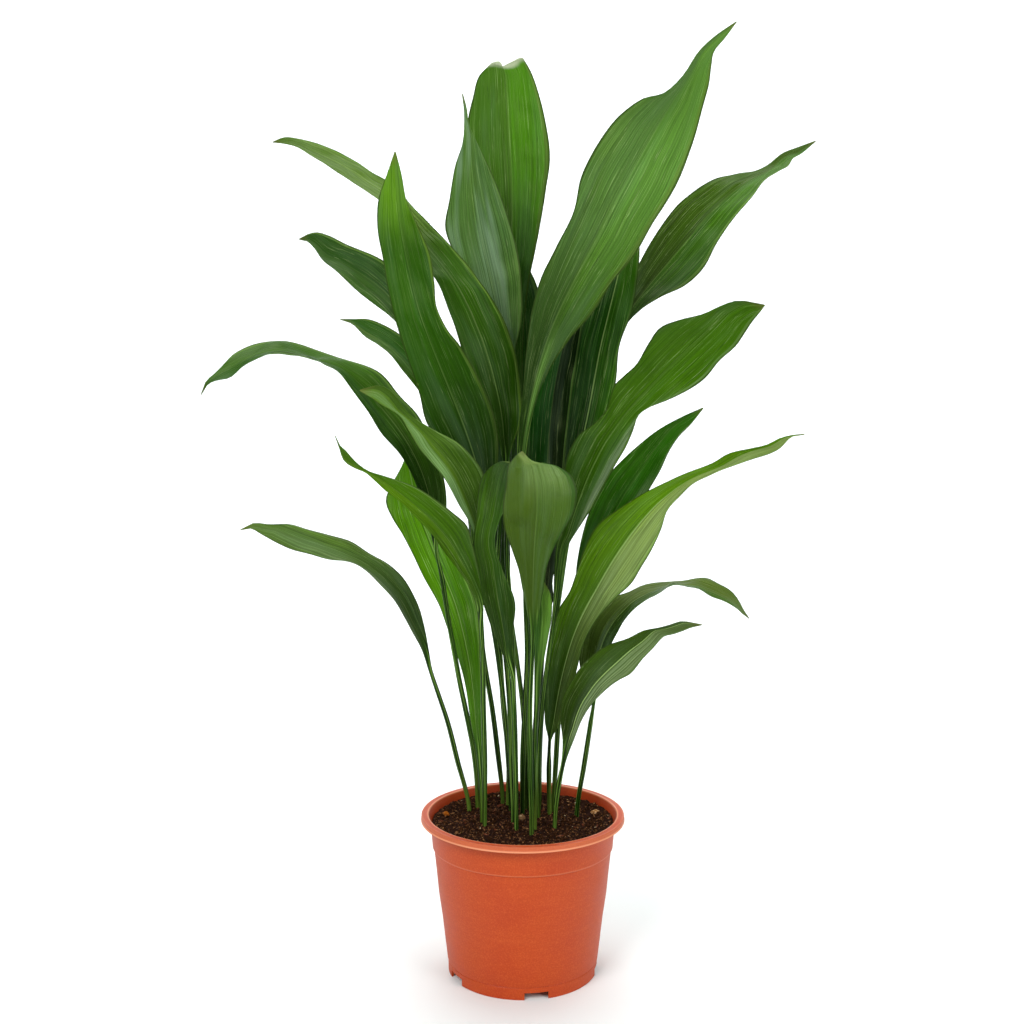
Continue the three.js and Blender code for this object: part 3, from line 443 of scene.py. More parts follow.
# What each leaf looks like: its record slot, the colours left and right of the rib on the side
# towards the viewer, which partly hold painted light and shade where one half faces the light more
# than the other, the colour of the other side, how strong its pale streaks are, and how strong the
# painted shade is that darkens it towards the stalk, where the leaves crowd.
LOOKS = {
    "leaf_01": ("leaf_green", "#4e7331", "#537f2f", "#56742e", 0.6, 1.0),
    "leaf_02": ("leaf_green", "#386112", "#3c7203", "#56742e", 0.5, 1.0),
    "leaf_03": ("leaf_pale", "#4a6f2f", "#476a33", "#5a7a42", 0.45, 0.5),
    "leaf_04": ("leaf_green", "#2c5603", "#2e5803", "#5c7e2e", 0.4, 0.7),
    "leaf_05": ("leaf_green", "#265103", "#254f03", "#56742e", 0.3, 1.0),
    "leaf_06": ("leaf_green", "#2e5218", "#1c4408", "#5c7c38", 0.6, 0.5),
    "leaf_07": ("leaf_dark", "#305603", "#204f03", "#56742e", 0.5, 0.3),
    "leaf_08": ("leaf_green", "#264e04", "#305608", "#5c7c38", 0.25, 0.9),
    "leaf_09": ("leaf_green", "#50731c", "#3c5c13", "#648444", 0.5, 0.7),
    "leaf_10": ("leaf_green", "#4e7608", "#406a03", "#648444", 0.5, 0.7),
    "leaf_11": ("leaf_bright", "#4c8103", "#447803", "#6c9440", 0.7, 0.5),
    "leaf_12": ("leaf_green", "#4e6a2c", "#4e6c2e", "#6c8458", 0.5, 0.9),
    "leaf_13": ("leaf_dark", "#305303", "#2c5109", "#4c6c34", 0.3, 0.8),
    "leaf_14": ("leaf_pale", "#4a6618", "#4e6e22", "#3c6424", 0.1, 0.6),
    # leaf_15, leaf_16 and leaf_23 get near-black colours: painted shade, far inside the clump
    "leaf_15": ("leaf_dark", "#143d03", "#255103", "#48682e", 0.8, 0.8),
    "leaf_16": ("leaf_green", "#084603", "#072003", "#4c6a34", 0.5, 1.0),
    "leaf_17": ("leaf_green", "#314f03", "#335f03", "#5c7c38", 0.6, 0.8),
    "leaf_18": ("leaf_green", "#365d06", "#3a6503", "#5a7a3c", 0.6, 0.8),
    "leaf_19": ("leaf_dark", "#225103", "#245a04", "#50703a", 0.5, 0.6),
    "leaf_20": ("leaf_bright", "#537f04", "#7b9448", "#7a9a50", 0.6, 1.0),
    "leaf_21": ("leaf_dark", "#546a29", "#406216", "#56743e", 0.5, 0.9),
    "leaf_22": ("leaf_pale", "#2f4b03", "#4a6129", "#6c8854", 0.5, 0.8),
    "leaf_23": ("leaf_dark", "#133506", "#133506", "#3e5a28", 0.3, 0.5),
    "leaf_24": ("leaf_green", "#3c6d14", "#598430", "#5c7c38", 0.3, 0.3),
}

# Strips of a blade that catch the light: from and to across it (-1 is its left edge, 1 its right
# one), from and to along it (0 is the soil, 1 the tip), colour and strength.
STRIPS = {
    "leaf_01": [(0.05, 0.4, 0.35, 0.6, "#7aa850", 0.5)],
    "leaf_02": [(-0.95, -0.45, 0.62, 0.8, "#93b08c", 0.55)],
    "leaf_03": [(-0.6, 0.5, 0.55, 0.8, "#86a084", 0.25)],
    "leaf_04": [(-1.2, 1.2, 0.72, 1.1, "#6c8430", 0.4)],
    "leaf_05": [(-1.2, 1.2, 0.9, 1.1, "#6ea41c", 0.5)],
    "leaf_09": [(-1.0, -0.3, 0.6, 0.95, "#86ac70", 0.5)],
    "leaf_12": [(-1.0, -0.35, 0.2, 0.75, "#8c9c7c", 0.35)],
    "leaf_14": [(-0.4, 1.0, 0.8, 1.0, "#8aa660", 0.5), (-0.5, 0.5, 0.95, 1.0, "#a8bc60", 0.7)],
    "leaf_18": [(0.6, 1.0, 0.4, 0.75, "#93a583", 0.4)],
    "leaf_19": [(0.6, 1.0, 0.3, 0.78, "#7c9468", 0.7)],
    "leaf_20": [(0.15, 1.0, 0.45, 0.9, "#94ac6c", 0.35)],
    "leaf_22": [(0.12, 1.0, 0.3, 0.85, "#849a6a", 0.5)],
}
STRIP_SOFTNESS = (0.15, 0.03)  # across, and along in metres

# How plainly a blade's rib and its veins show, how strong its painted sheen is, and up to which
# share of its length painted shade darkens it towards the stalk: the usual value, and the leaves
# that differ.
RIB_SHOWS = {"usual": 0.05, "leaf_11": 0.3, "leaf_15": 0.5, "leaf_20": 0.5, "leaf_21": 0.3, "leaf_22": 0.9}
VEINS_SHOW = {
    "usual": 1.0, "leaf_02": 0.8, "leaf_05": 0.6, "leaf_11": 1.3, "leaf_12": 1.3, "leaf_14": 0.35,
    "leaf_15": 1.5, "leaf_17": 1.3,
}
PAINTED_SHEEN_SHOWS = {
    "usual": 0.07, "leaf_03": 0.5, "leaf_12": 0.15, "leaf_14": 0.12, "leaf_21": 0.2, "leaf_22": 0.1,
}
SHADE_REACH = {"usual": 0.6, "leaf_02": 0.9, "leaf_14": 0.85, "leaf_16": 1.0}


# Small helpers.


def clamp(value):
    return min(max(value, 0.0), 1.0)


def linear(colour):
    """An sRGB hex colour as linear RGBA."""
    parts = [int(colour[i : i + 2], 16) / 255 for i in (1, 3, 5)]
    return [c / 12.92 if c <= 0.04045 else ((c + 0.055) / 1.055) ** 2.4 for c in parts] + [1.0]


def per_metre(size):
    """The scale of a pattern whose grains are that many mm across."""
    return 1 / (size * MM)


def fill(socket, value):
    """Links the socket, or sets it."""
    if isinstance(value, bpy.types.NodeSocket):
        socket.id_data.links.new(value, socket)
    else:
        socket.default_value = value


def node(tree, kind, *values, out=None, **settings):
    """Adds a node with its settings, fills its inputs in their order, and gives its first output
    or the named one."""
    made = tree.nodes.new("ShaderNode" + kind)
    for key, value in settings.items():
        setattr(made, key, value)
    inputs = [socket for socket in made.inputs if socket.enabled]
    for socket, value in zip(inputs, values):
        fill(socket, value)
    outputs = [socket for socket in made.outputs if socket.enabled]
    return made.outputs[out] if out else outputs[0]


# Settings that many nodes share
BLEND = dict(data_type="RGBA")
TINT = dict(data_type="RGBA", blend_type="MULTIPLY")
SMOOTH = dict(interpolation_type="SMOOTHSTEP")
TIMES = dict(operation="MULTIPLY")
TIMES_PLUS = dict(operation="MULTIPLY_ADD")
MINUS = dict(operation="SUBTRACT")
SIZE_OF = dict(operation="ABSOLUTE")


def new_material(name):
    """A material, what adds a node to it, and its shader."""
    material = bpy.data.materials.new(name)
    material.use_nodes = True
    tree = material.node_tree
    return material, partial(node, tree), tree.nodes["Principled BSDF"]


def dress(skin, values):
    """Fills the shader's inputs by name."""
    for name, value in values.items():
        fill(skin.inputs[name], value)


def selected_only(obj):
    bpy.ops.object.select_all(action="DESELECT")
    obj.select_set(True)
    bpy.context.view_layer.objects.active = obj


def points_of(mesh):
    """The mesh's points as rows of x, y and z."""
    co = np.zeros(len(mesh.vertices) * 3)
    mesh.vertices.foreach_get("co", co)
    return co.reshape(-1, 3)


def move_points(mesh, points):
    """Puts the mesh's points at rows of x, y and z in mm."""
    mesh.vertices.foreach_set("co", (points * MM).ravel())
    mesh.update()


def merge_doubles(obj):
    selected_only(obj)
    bpy.ops.object.mode_set(mode="EDIT")
    bpy.ops.mesh.select_all(action="SELECT")
    bpy.ops.mesh.remove_doubles(threshold=1e-6)
    bpy.ops.object.mode_set(mode="OBJECT")


def shade_by_angle(obj, degrees):
    selected_only(obj)
    bpy.ops.object.shade_smooth_by_angle(angle=math.radians(degrees))


def place(obj, material, slot, *replaced):
    """The finished piece gets its material, rides on the part's one body and stands for its CAD
    nodes."""
    obj.data.materials.append(material)
    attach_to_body(obj, "root")
    for name in replaced:
        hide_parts(name)


# The leaves.


def seen(across, up, depth, share):
    """A point of the front elevation, moved along the line of sight to its depth, in mm."""
    rise = clamp((up - STRETCH_FROM) / (STRETCH_FULL_AT - STRETCH_FROM))
    y = depth + (depth - CLUMP_MIDDLE) * CLUMP_STRETCH * share * rise
    k = (EYE_DISTANCE + y) / EYE_DISTANCE
    return np.array([EYE_X + (across - EYE_X) * k, y, EYE_HEIGHT + (up - EYE_HEIGHT) * k])


def leaf_rows(leaf):
    """Rows of left edge, right edge and stalk radius, from the bottom to the tip."""
    share = leaf.get("stretch", 1)
    rows = []

    def round_row(middle, radius):
        side = np.array([radius, 0, 0])
        rows.append([*(middle - side), *(middle + side), radius])

    def flat_row(left, right, out):
        rows.append([*(left - out), *(right + out), STALK_RADIUS])

    for height, taper in FOOT_TAPER:
        round_row(np.array([*leaf["foot"], height]), STALK_FOOT_RADIUS * taper)
    for i, point in enumerate(leaf["stalk"]):
        part = (i + 1) / len(leaf["stalk"])
        round_row(seen(*point, share), STALK_FOOT_RADIUS + (STALK_RADIUS - STALK_FOOT_RADIUS) * part)
    for la, lu, ra, ru, depth, tilt in leaf["blade"]:
        left = seen(la, lu, depth - tilt / 2, share)
        right = seen(ra, ru, depth + tilt / 2, share)
        sideways = (right - left) / np.linalg.norm(right - left)
        flat_row(left, right, sideways * EDGE_GAIN)
    if "tip" in leaf:
        tip = seen(*leaf["tip"], share)
        flat_row(tip, tip, sideways * TIP_WIDTH / 2)
    return np.array(rows)


def smooth_rows(rows, spacing):
    """The rows joined by smooth curves and read off at an even spacing along the leaf."""
    middle = (rows[:, :3] + rows[:, 3:6]) / 2
    step = np.linalg.norm(np.diff(middle, axis=0), axis=1)
    at = np.concatenate([[0], np.cumsum(step)])
    slope = np.zeros_like(rows)
    ahead = np.diff(rows, axis=0) / step[:, None]
    weight = step[:-1, None] + step[1:, None]
    slope[1:-1] = (ahead[:-1] * step[1:, None] + ahead[1:] * step[:-1, None]) / weight
    slope[0], slope[-1] = ahead[0], ahead[-1]
    stations = np.linspace(0, at[-1], int(at[-1] / spacing) + 1)
    stations[-2] = stations[-1] - LAST_STATION
    k = np.clip(np.searchsorted(at, stations, side="right") - 1, 0, len(step) - 1)
    h = step[k][:, None]
    t = ((stations - at[k]) / step[k])[:, None]
    made = (
        (2 * t**3 - 3 * t**2 + 1) * rows[k]
        + (t**3 - 2 * t**2 + t) * h * slope[k]
        + (3 * t**2 - 2 * t**3) * rows[k + 1]
        + (t**3 - t**2) * h * slope[k + 1]
    )
    return stations, made


def smoothed(values, stations):
    """A running average along the leaf, weighted towards the near stations."""
    weight = np.exp(-(((stations[:, None] - stations[None, :]) / STRAIGHTENING_REACH) ** 2))
    return weight @ values / weight.sum(axis=1)[:, None]


def leaf_spine(leaf):
    """What the rows say at each station: where the leaf is, which way it lies, how wide it is, and
    how far it has turned from a round stalk to a flat blade."""
    stations, rows = smooth_rows(leaf_rows(leaf), STATION_SPACING)
    middle = (rows[:, :3] + rows[:, 3:6]) / 2
    half = (rows[:, 3:6] - rows[:, :3]) / 2
    width = np.linalg.norm(half, axis=1)
    along = np.gradient(middle, axis=0)
    along /= np.linalg.norm(along, axis=1)[:, None]
    face = np.cross(half, along)
    face /= np.maximum(np.linalg.norm(face, axis=1), 1e-9)[:, None]
    face[-1] = face[-2]
    # the rib and the veins run straighter than the waving edges
    drift = np.sum((smoothed(middle, stations) - middle) * half, axis=1) / np.maximum(width, 1) ** 2
    before_blade = np.arange(len(stations)) < np.argmax(width)
    radius = rows[:, 6]
    slimness = (STALK_MERGE_WIDTH - width) / (STALK_MERGE_WIDTH - radius)
    return SimpleNamespace(
        stations=stations,
        middle=middle,
        half=half,
        width=width,
        even_width=smoothed(width[:, None], stations)[:, 0],
        along=along,
        face=face,
        drift=np.clip(drift, -MOST_RIB_DRIFT, MOST_RIB_DRIFT),
        radius=radius,
        roundness=np.where(before_blade, np.clip(slimness, 0, 1), 0),
        flatness=np.where(before_blade, np.clip((width - radius) / STALK_MERGE_WIDTH, 0, 1), 1),
    )


def ripples(spine, ring, x, seed):
    """How far small waves along the edges, and shallow buckles between rib and edge, move each
    point off the blade's face. They die out towards the rib, the stalk and the tip."""
    draw = np.random.default_rng(seed)
    left = np.zeros(len(spine.stations))
    right = np.zeros(len(spine.stations))
    for length in WAVE_LENGTHS:
        turns = spine.stations / length * FULL_TURN
        left += np.sin(turns + draw.uniform(0, ANY_TURN)) * length / WAVE_FULL_LENGTH
        right += np.sin(turns + draw.uniform(0, ANY_TURN)) * length / WAVE_FULL_LENGTH
    swell = np.clip((spine.width - WAVES_START) / (WAVES_FULL - WAVES_START), 0, 1)
    swell = (swell * spine.flatness)[ring]
    waves = np.where(x < 0, left[ring], right[ring]) * swell * EDGE_WAVE * np.abs(x) ** 3
    buckles = np.zeros_like(x)
    for length, slant in BUCKLES:
        turns = spine.stations[ring] / length * FULL_TURN + slant * x + draw.uniform(0, ANY_TURN)
        buckles += np.sin(turns) * length / BUCKLE_FULL_LENGTH
    bulge = np.abs(x) * (1 - x**2) * BULGE_GAIN
    return waves + buckles * swell * BUCKLE * bulge


def attach(mesh, name, domain, values):
    """Keeps a value for each point or face, for the material to read."""
    attribute = mesh.attributes.new(name, "FLOAT", domain)
    attribute.data.foreach_set("value", np.asarray(values, dtype=np.float32))


def grow_leaf(name, leaf, seed):
    """A leaf with its stalk. A sphere's rings become the leaf's cross-sections."""
    spine = leaf_spine(leaf)
    count = len(spine.stations)
    bpy.ops.mesh.primitive_uv_sphere_add(segments=RING_POINTS, ring_count=count - 1, radius=1)
    obj = bpy.context.object
    obj.name = obj.data.name = name + "_blade"
    mesh = obj.data
    ball = points_of(mesh)
    ring = np.rint((1 - np.arccos(np.clip(ball[:, 2], -1, 1)) / math.pi) * (count - 1)).astype(int)
    pole = np.hypot(ball[:, 0], ball[:, 1]) < 1e-6
    turn = (np.degrees(np.arctan2(ball[:, 1], ball[:, 0])) + 90 + 1e-4) % 360
    upper = turn < 180 - 2e-4
    half_turn = np.clip(np.where(upper, turn / 180, (360 - turn) / 180), 0, 1)
    # across the leaf: evenly spaced on the blade, as on a circle on the stalk
    r = spine.roundness[ring]
    x = (2 * half_turn - 1) * (1 - r) - np.cos(math.pi * half_turn) * r
    x = np.where(pole, 0, x)
    rim = np.sqrt(np.clip(1 - np.abs(x) ** RIM_SQUARENESS, 0, 1))
    blade = (RIB_THICKNESS + (EDGE_THICKNESS - RIB_THICKNESS) * x**2) / 2 * rim
    blade *= np.clip(spine.width[ring] / FULL_THICKNESS_FROM, LEAST_THICKNESS, 1)
    stalk = spine.radius[ring] * np.sqrt(np.clip(1 - x**2, 0, 1))
    thick = np.where(pole, 0, blade * (1 - r) + stalk * r)
    side = np.where(upper, 1.0, -1.0)
    trough = (leaf.get("fold", FOLD) * spine.width * spine.flatness)[ring]
    offset = side * thick - trough * (1 - np.abs(x) ** FOLD_ROUNDNESS) + ripples(spine, ring, x, seed)
    drift = spine.drift[ring] * (1 - r)
    spot = x + drift * (1 - x**2)
    where = spine.middle[ring] + spine.half[ring] * spot[:, None] + spine.face[ring] * offset[:, None]
    if "torn" in leaf:
        torn = np.interp(x, np.linspace(-1, 1, len(leaf["torn"])), leaf["torn"])
        near_tip = np.clip(1 - (count - 2 - ring) / TORN_RINGS, 0, 1)
        where += spine.along[ring] * (torn * near_tip)[:, None]
    move_points(mesh, where)

    attach(mesh, "stalk", "POINT", r)
    attach(mesh, "edge", "POINT", np.abs(x))
    # which faces look towards the viewer's side of the leaf
    facing = [sum(side[v] for v in p.vertices if not pole[v]) > 0 for p in mesh.polygons]
    attach(mesh, "upper", "FACE", facing)
    uv = mesh.uv_layers.active
    uv.name = "across_along"
    corner = np.zeros(len(mesh.loops), dtype=int)
    mesh.loops.foreach_get("vertex_index", corner)
    vein = (spot - drift) * spine.width[ring] / np.maximum(spine.even_width[ring], 1)
    flat = np.stack([vein, spine.stations[ring] * MM], axis=1)
    uv.data.foreach_set("uv", flat[corner].astype(np.float32).ravel())
    shade_by_angle(obj, 70)
    blade_from = spine.stations[np.argmax(spine.width > STALK_MERGE_WIDTH)]
    return obj, float(spine.width.max()), float(blade_from), float(spine.stations[-1])


# Leaf tissue. A tint is a factor for each of red, green and blue.
VEIN_SPACING = 2.3  # mm; the real veins lie about 1 mm apart, too fine to show here
# painted shade: the tint that darkens a blade towards the stalk, where the leaves crowd
SHADE_TINT = (0.16, 0.22, 0.1, 1)
BLOTCH_TINT = (1.15, 1.12, 0.6, 1)
CREASE_SHADE_TINT = (0.3, 0.36, 0.3, 1)
BESIDE_RIB_SHADE_TINT = (0.5, 0.55, 0.45, 1)
# the colour of the painted sheen patches on the blade's upper side
PAINTED_SHEEN = linear("#86a284")
PALE_STREAK = linear("#b4cc88")
RIB_PALE_AND_HIGHLIGHT = linear("#9ab86c")
MARGIN = linear("#24340e")
# A leaf's dead end: its colour, its length in mm and how strong it is
TORN_END = ("#a9b294", 7, 0.85)
DRY_TIP = ("#5c5a2c", 16, 0.6)
DRY_EDGE = 0.006  # m; how far the patches move its edge up and down the blade
STALK_HOLLOW_SHADE = linear("#0c2004")
STALK_SIDE = linear("#28540c")
STALK_RIDGE_HIGHLIGHT = linear("#7ca048")
STALK_BLEACHED = linear("#7c9a38")


def leaf_grain(add, half_width, seed):
    """Where a point lies on the leaf, and the patterns there, drawn out along it, from single
    veins to broad patches."""
    axes = add("SeparateXYZ", add("UVMap", uv_map="across_along")).node.outputs
    x, down = axes[0], axes[1]

    def drawn_out(width, length, shift):
        """Noise drawn out along the leaf, with grains of that width and length in mm. From line
        to line is about 2.5 widths. The shift tells patterns apart, and the seed tells leaves."""
        across = add("Math", x, half_width / width, **TIMES)
        lengthways = add("Math", down, per_metre(length), **TIMES)
        spot = add("CombineXYZ", across, lengthways, seed * 3.7 + shift)
        return add("TexNoise", spot, 1.0, 2.0)

    def hairline(noise, thickness):
        """Thin lines along the leaf, where the noise passes its middle value."""
        off = add("Math", add("Math", noise, 0.5, **MINUS), **SIZE_OF)
        return add("MapRange", off, 0.0, thickness, 1.0, 0.0, **SMOOTH)

    grain = SimpleNamespace(
        x=x,
        down=down,
        out=add("Math", x, **SIZE_OF),
        edge=add("Attribute", attribute_name="edge", out="Fac"),
        facing=add("Attribute", attribute_name="upper", out="Fac"),
        stalk=add("Attribute", attribute_name="stalk", out="Fac"),
        veins=drawn_out(0.45, 91, 0),
        cords=drawn_out(1.2, 167, 11),
        pleats=drawn_out(3.4, 250, 23),
        sheen_patches=drawn_out(17, 111, 51),
        blotch=drawn_out(19, 125, 67),
        ridges=drawn_out(half_width * 0.22, 111, 91),
    )
    # parallel veins, a little uneven, that stand out more in some places than in others
    wander = add("Math", grain.pleats, 10.0, **TIMES)
    turns = add("Math", x, half_width / VEIN_SPACING * FULL_TURN, wander, **TIMES_PLUS)
    stand_out = add("MapRange", grain.cords, 0.35, 0.62, 0.35, 1.0, **SMOOTH)
    grain.lines = add("Math", add("Math", turns, operation="SINE"), stand_out, **TIMES)
    # painted shade: thin dark lines where the blade is creased, in some places only
    creased = add("MapRange", grain.blotch, 0.42, 0.58, **SMOOTH)
    grain.creases = add("Math", hairline(drawn_out(2.4, 200, 83), 0.02), creased, **TIMES)
    streaked = add("MapRange", grain.cords, 0.45, 0.6, **SMOOTH)
    grain.streaks = add("Math", hairline(drawn_out(1.5, 111, 37), 0.025), streaked, **TIMES)
    return grain


def blade_base(add, grain, name, blade_from, length):
    """The blade's even colours: its two halves, which partly hold painted light and shade, the other
    side, the painted shade towards the stalk, yellower patches and the strips that catch the light."""
    _, left, right, under, _, painted_shade_depth = LOOKS[name]
    right_half = add("MapRange", grain.x, -0.06, 0.06, **SMOOTH)
    halves = add("Mix", right_half, linear(left), linear(right), **BLEND)
    other_side = add("Mix", 0.25, linear(under), halves, **BLEND)
    base = add("Mix", grain.facing, other_side, halves, **BLEND)
    # painted shade: darker from the blade's start up to a share of its length
    shade_end = blade_from + (length - blade_from) * SHADE_REACH.get(name, SHADE_REACH["usual"])
    low = add("MapRange", grain.down, blade_from * MM, shade_end * MM, painted_shade_depth, 0.0, **SMOOTH)
    base = add("Mix", low, base, SHADE_TINT, **TINT)
    yellower = add("MapRange", grain.blotch, 0.42, 0.68, 0.0, 0.45, **SMOOTH)
    base = add("Mix", yellower, base, BLOTCH_TINT, **TINT)

    def band(value, start, stop, soft):
        """1 between start and stop, 0 outside, with soft ends."""
        begun = add("MapRange", value, start - soft, start + soft, **SMOOTH)
        ended = add("MapRange", value, stop - soft, stop + soft, 1.0, 0.0, **SMOOTH)
        return add("Math", begun, ended, **TIMES)

    broken = add("MapRange", grain.cords, 0.3, 0.55, 0.35, 1.0, **SMOOTH)
    for x_from, x_to, y_from, y_to, colour, strength in STRIPS.get(name, []):
        amount = add("Math", strength, grain.facing, **TIMES)
        for share in (
            band(grain.x, x_from, x_to, STRIP_SOFTNESS[0]),
            band(grain.down, y_from * length * MM, y_to * length * MM, STRIP_SOFTNESS[1]),
            broken,
        ):
            amount = add("Math", amount, share, **TIMES)
        base = add("Mix", amount, base, linear(colour), **BLEND)
    return base


def vein_marks(add, grain, name, length, base):
    """Light and dark lines in three widths, fainter towards the tip, thin lines of painted shade where
    the blade is creased, a painted sheen in greyish patches broken up by the veins, and pale streaks."""
    shows = VEINS_SHOW.get(name, VEINS_SHOW["usual"])
    fade_from, fade_to = length * 0.8 * MM, length * 0.98 * MM
    contrast = add("MapRange", grain.down, fade_from, fade_to, shows, shows * 0.35, **SMOOTH)
    tone = add("Math", grain.pleats, 0.5, add("Math", grain.lines, 0.15, **TIMES), **TIMES_PLUS)
    tone = add("Math", grain.cords, 0.8, tone, **TIMES_PLUS)
    tone = add("Math", grain.veins, 1.3, tone, **TIMES_PLUS)
    tone = add("Math", add("Math", tone, 1.3, **MINUS), contrast, 0.97, **TIMES_PLUS)
    base = add("VectorMath", base, tone, operation="SCALE")
    # painted shade in the creased lines
    base = add("Mix", add("Math", grain.creases, 0.7 * shows, **TIMES), base, CREASE_SHADE_TINT, **TINT)
    # painted sheen: greyish patches mixed into the upper side's colour
    painted_sheen_shows = PAINTED_SHEEN_SHOWS.get(name, PAINTED_SHEEN_SHOWS["usual"])
    painted_sheen = add("MapRange", grain.sheen_patches, 0.45, 0.7, 0.0, painted_sheen_shows, **SMOOTH)
    painted_sheen = add("Math", painted_sheen, add("MapRange", grain.veins, 0.3, 0.6, 0.5, 1.0, **SMOOTH), **TIMES)
    painted_sheen = add("Math", painted_sheen, grain.facing, **TIMES)
    base = add("Mix", painted_sheen, base, PAINTED_SHEEN, **BLEND)
    *_, streaks, _ = LOOKS[name]
    streak = add("Math", grain.streaks, streaks, **TIMES)
    return add("Mix", streak, base, add("Mix", 0.5, base, PALE_STREAK, **BLEND), **BLEND)


def rib_and_ends(add, grain, name, length, base):
    """The rib, paler in its own colour and with a painted highlight along it, between two lines of
    painted shade; the thin dark margin and the dry end.
    """
    shows = RIB_SHOWS.get(name, RIB_SHOWS["usual"])
    rib = add("MapRange", grain.down, length * 0.4 * MM, length * 0.85 * MM, shows + 0.15, shows, **SMOOTH)
    rib = add("Math", add("MapRange", grain.out, 0.01, 0.045, 1.0, 0.0, **SMOOTH), rib, **TIMES)
    base = add("Mix", rib, base, RIB_PALE_AND_HIGHLIGHT, **BLEND)
    # painted shade: two darker lines on either side of the rib
    near_rib = add("MapRange", grain.out, 0.035, 0.11, 1.0, 0.0, **SMOOTH)
    beside = add("Math", near_rib, add("MapRange", grain.out, 0.02, 0.04, **SMOOTH), **TIMES)
    base = add("Mix", add("Math", beside, 0.3, **TIMES), base, BESIDE_RIB_SHADE_TINT, **TINT)
    margin = add("MapRange", grain.edge, 0.93, 0.98, 0.0, 0.75, **SMOOTH)
    base = add("Mix", margin, base, MARGIN, **BLEND)
    colour, reach, most = TORN_END if "torn" in LEAVES[name] else DRY_TIP
    uneven = add("Math", grain.blotch, 2 * DRY_EDGE, grain.down, **TIMES_PLUS)
    dry_from, dry_to = (length - reach) * MM + DRY_EDGE, length * MM + DRY_EDGE
    withered = add("MapRange", uneven, dry_from, dry_to, 0.0, most, **SMOOTH)
    return add("Mix", withered, base, linear(colour), **BLEND)


def stalk_colour(add, grain, seed):
    """The stalk's lengthwise ribs are painted: painted shade in its hollows and painted highlights on
    its ridges, and some stalks are bleached at the soil."""
    side = add("MapRange", grain.ridges, 0.42, 0.58, **SMOOTH)
    stem = add("Mix", side, STALK_HOLLOW_SHADE, STALK_SIDE, **BLEND)
    ridge = add("MapRange", grain.ridges, 0.54, 0.62, 0.0, 0.9, **SMOOTH)
    stem = add("Mix", ridge, stem, STALK_RIDGE_HIGHLIGHT, **BLEND)
    foot = add("MapRange", grain.down, 0.028, 0.07, 0.15 * (seed % 4), 0.0, **SMOOTH)
    return add("Mix", foot, stem, STALK_BLEACHED, **BLEND)


def leaf_tissue(name, half_width, blade_from, length, seed):
    """Living leaf: a waxy upper skin over parallel veins, so a satin sheen, partly painted into the
    colour, broken into fine lengthwise lines, with pale streaks, a thin dark margin and a duller, paler
    underside, and painted shade towards the stalk."""
    material, add, skin = new_material("living_leaf_" + name[-2:])
    grain = leaf_grain(add, half_width, seed)
    base = blade_base(add, grain, name, blade_from, length)
    base = vein_marks(add, grain, name, length, base)
    base = rib_and_ends(add, grain, name, length, base)
    on_stalk = add("MapRange", grain.stalk, 0.1, 1.0, 0.0, 0.95, **SMOOTH)
    base = add("Mix", on_stalk, base, stalk_colour(add, grain, seed), **BLEND)
    height = add("Math", grain.cords, 0.6, add("Math", grain.lines, 0.1, **TIMES), **TIMES_PLUS)
    height = add("Math", grain.pleats, 1.2, height, **TIMES_PLUS)
    bump = add("Bump")
    dress(bump.node, {"Height": height, "Strength": 0.7, "Distance": 0.0008})
    rough = add("MapRange", grain.facing, 0.0, 1.0, 0.4, 0.2, **SMOOTH)
    rough = add("Math", grain.veins, 0.15, rough, **TIMES_PLUS)
    rough = add("Math", grain.sheen_patches, 0.3, rough, **TIMES_PLUS)
    dress(skin, {
        "Base Color": base, "Roughness": rough, "Normal": bump, "IOR": 1.45,
        "Specular IOR Level": 0.16, "Specular Tint": (0.8, 1.0, 0.4, 1.0),
    })
    return material


for number, (name, leaf) in enumerate(LEAVES.items()):
    slot, *_ = LOOKS[name]
    blade, half_width, blade_from, length = grow_leaf(name, leaf, number)
    place(blade, leaf_tissue(name, half_width, blade_from, length, number), slot, name)


# The pot.

POT_SIDES = 144
WALL = 1.6
FOOT_RADIUS = 70
FOOT_HEIGHT = 11.6
FLOOR_HEIGHT = 7.4
CENTRE_DISC_RADIUS = 30
TAPER = ((72.7, 29), (75.4, 53), (78.7, 76), (80.4, 94))  # radius and height of the outer wall
COLLAR_BOTTOM = 119.5
COLLAR_TOP = 141
LIP_INNER_RADIUS = 87.7
LIP_OUTER_RADIUS = 95
LIP_TOP = 150.4
LIP_BOTTOM = 144.9
NOTCHES = 5
NOTCH_WIDTH = 22
NOTCH_DEPTH = 12
NOTCH_HEIGHT = 6.8
FIRST_NOTCH_ANGLE = -80
DRAIN_HOLES = 6
DRAIN_HOLE_RADIUS = 5
DRAIN_CIRCLE_RADIUS = 50
DRAIN_HOLE_SIDES = 24
DRAIN_PLUG_LENGTH = 6
# The plastic's marks
CLOUD_SIZE = 35.7
RING_LENGTH = 33.3
RING_HEIGHT = 3.7
SPECKLE_SIZE = 1.25  # the real one is finer, too fine to show here
WALL_LEAN = 0.32  # how far the inner wall leans out for each mm up


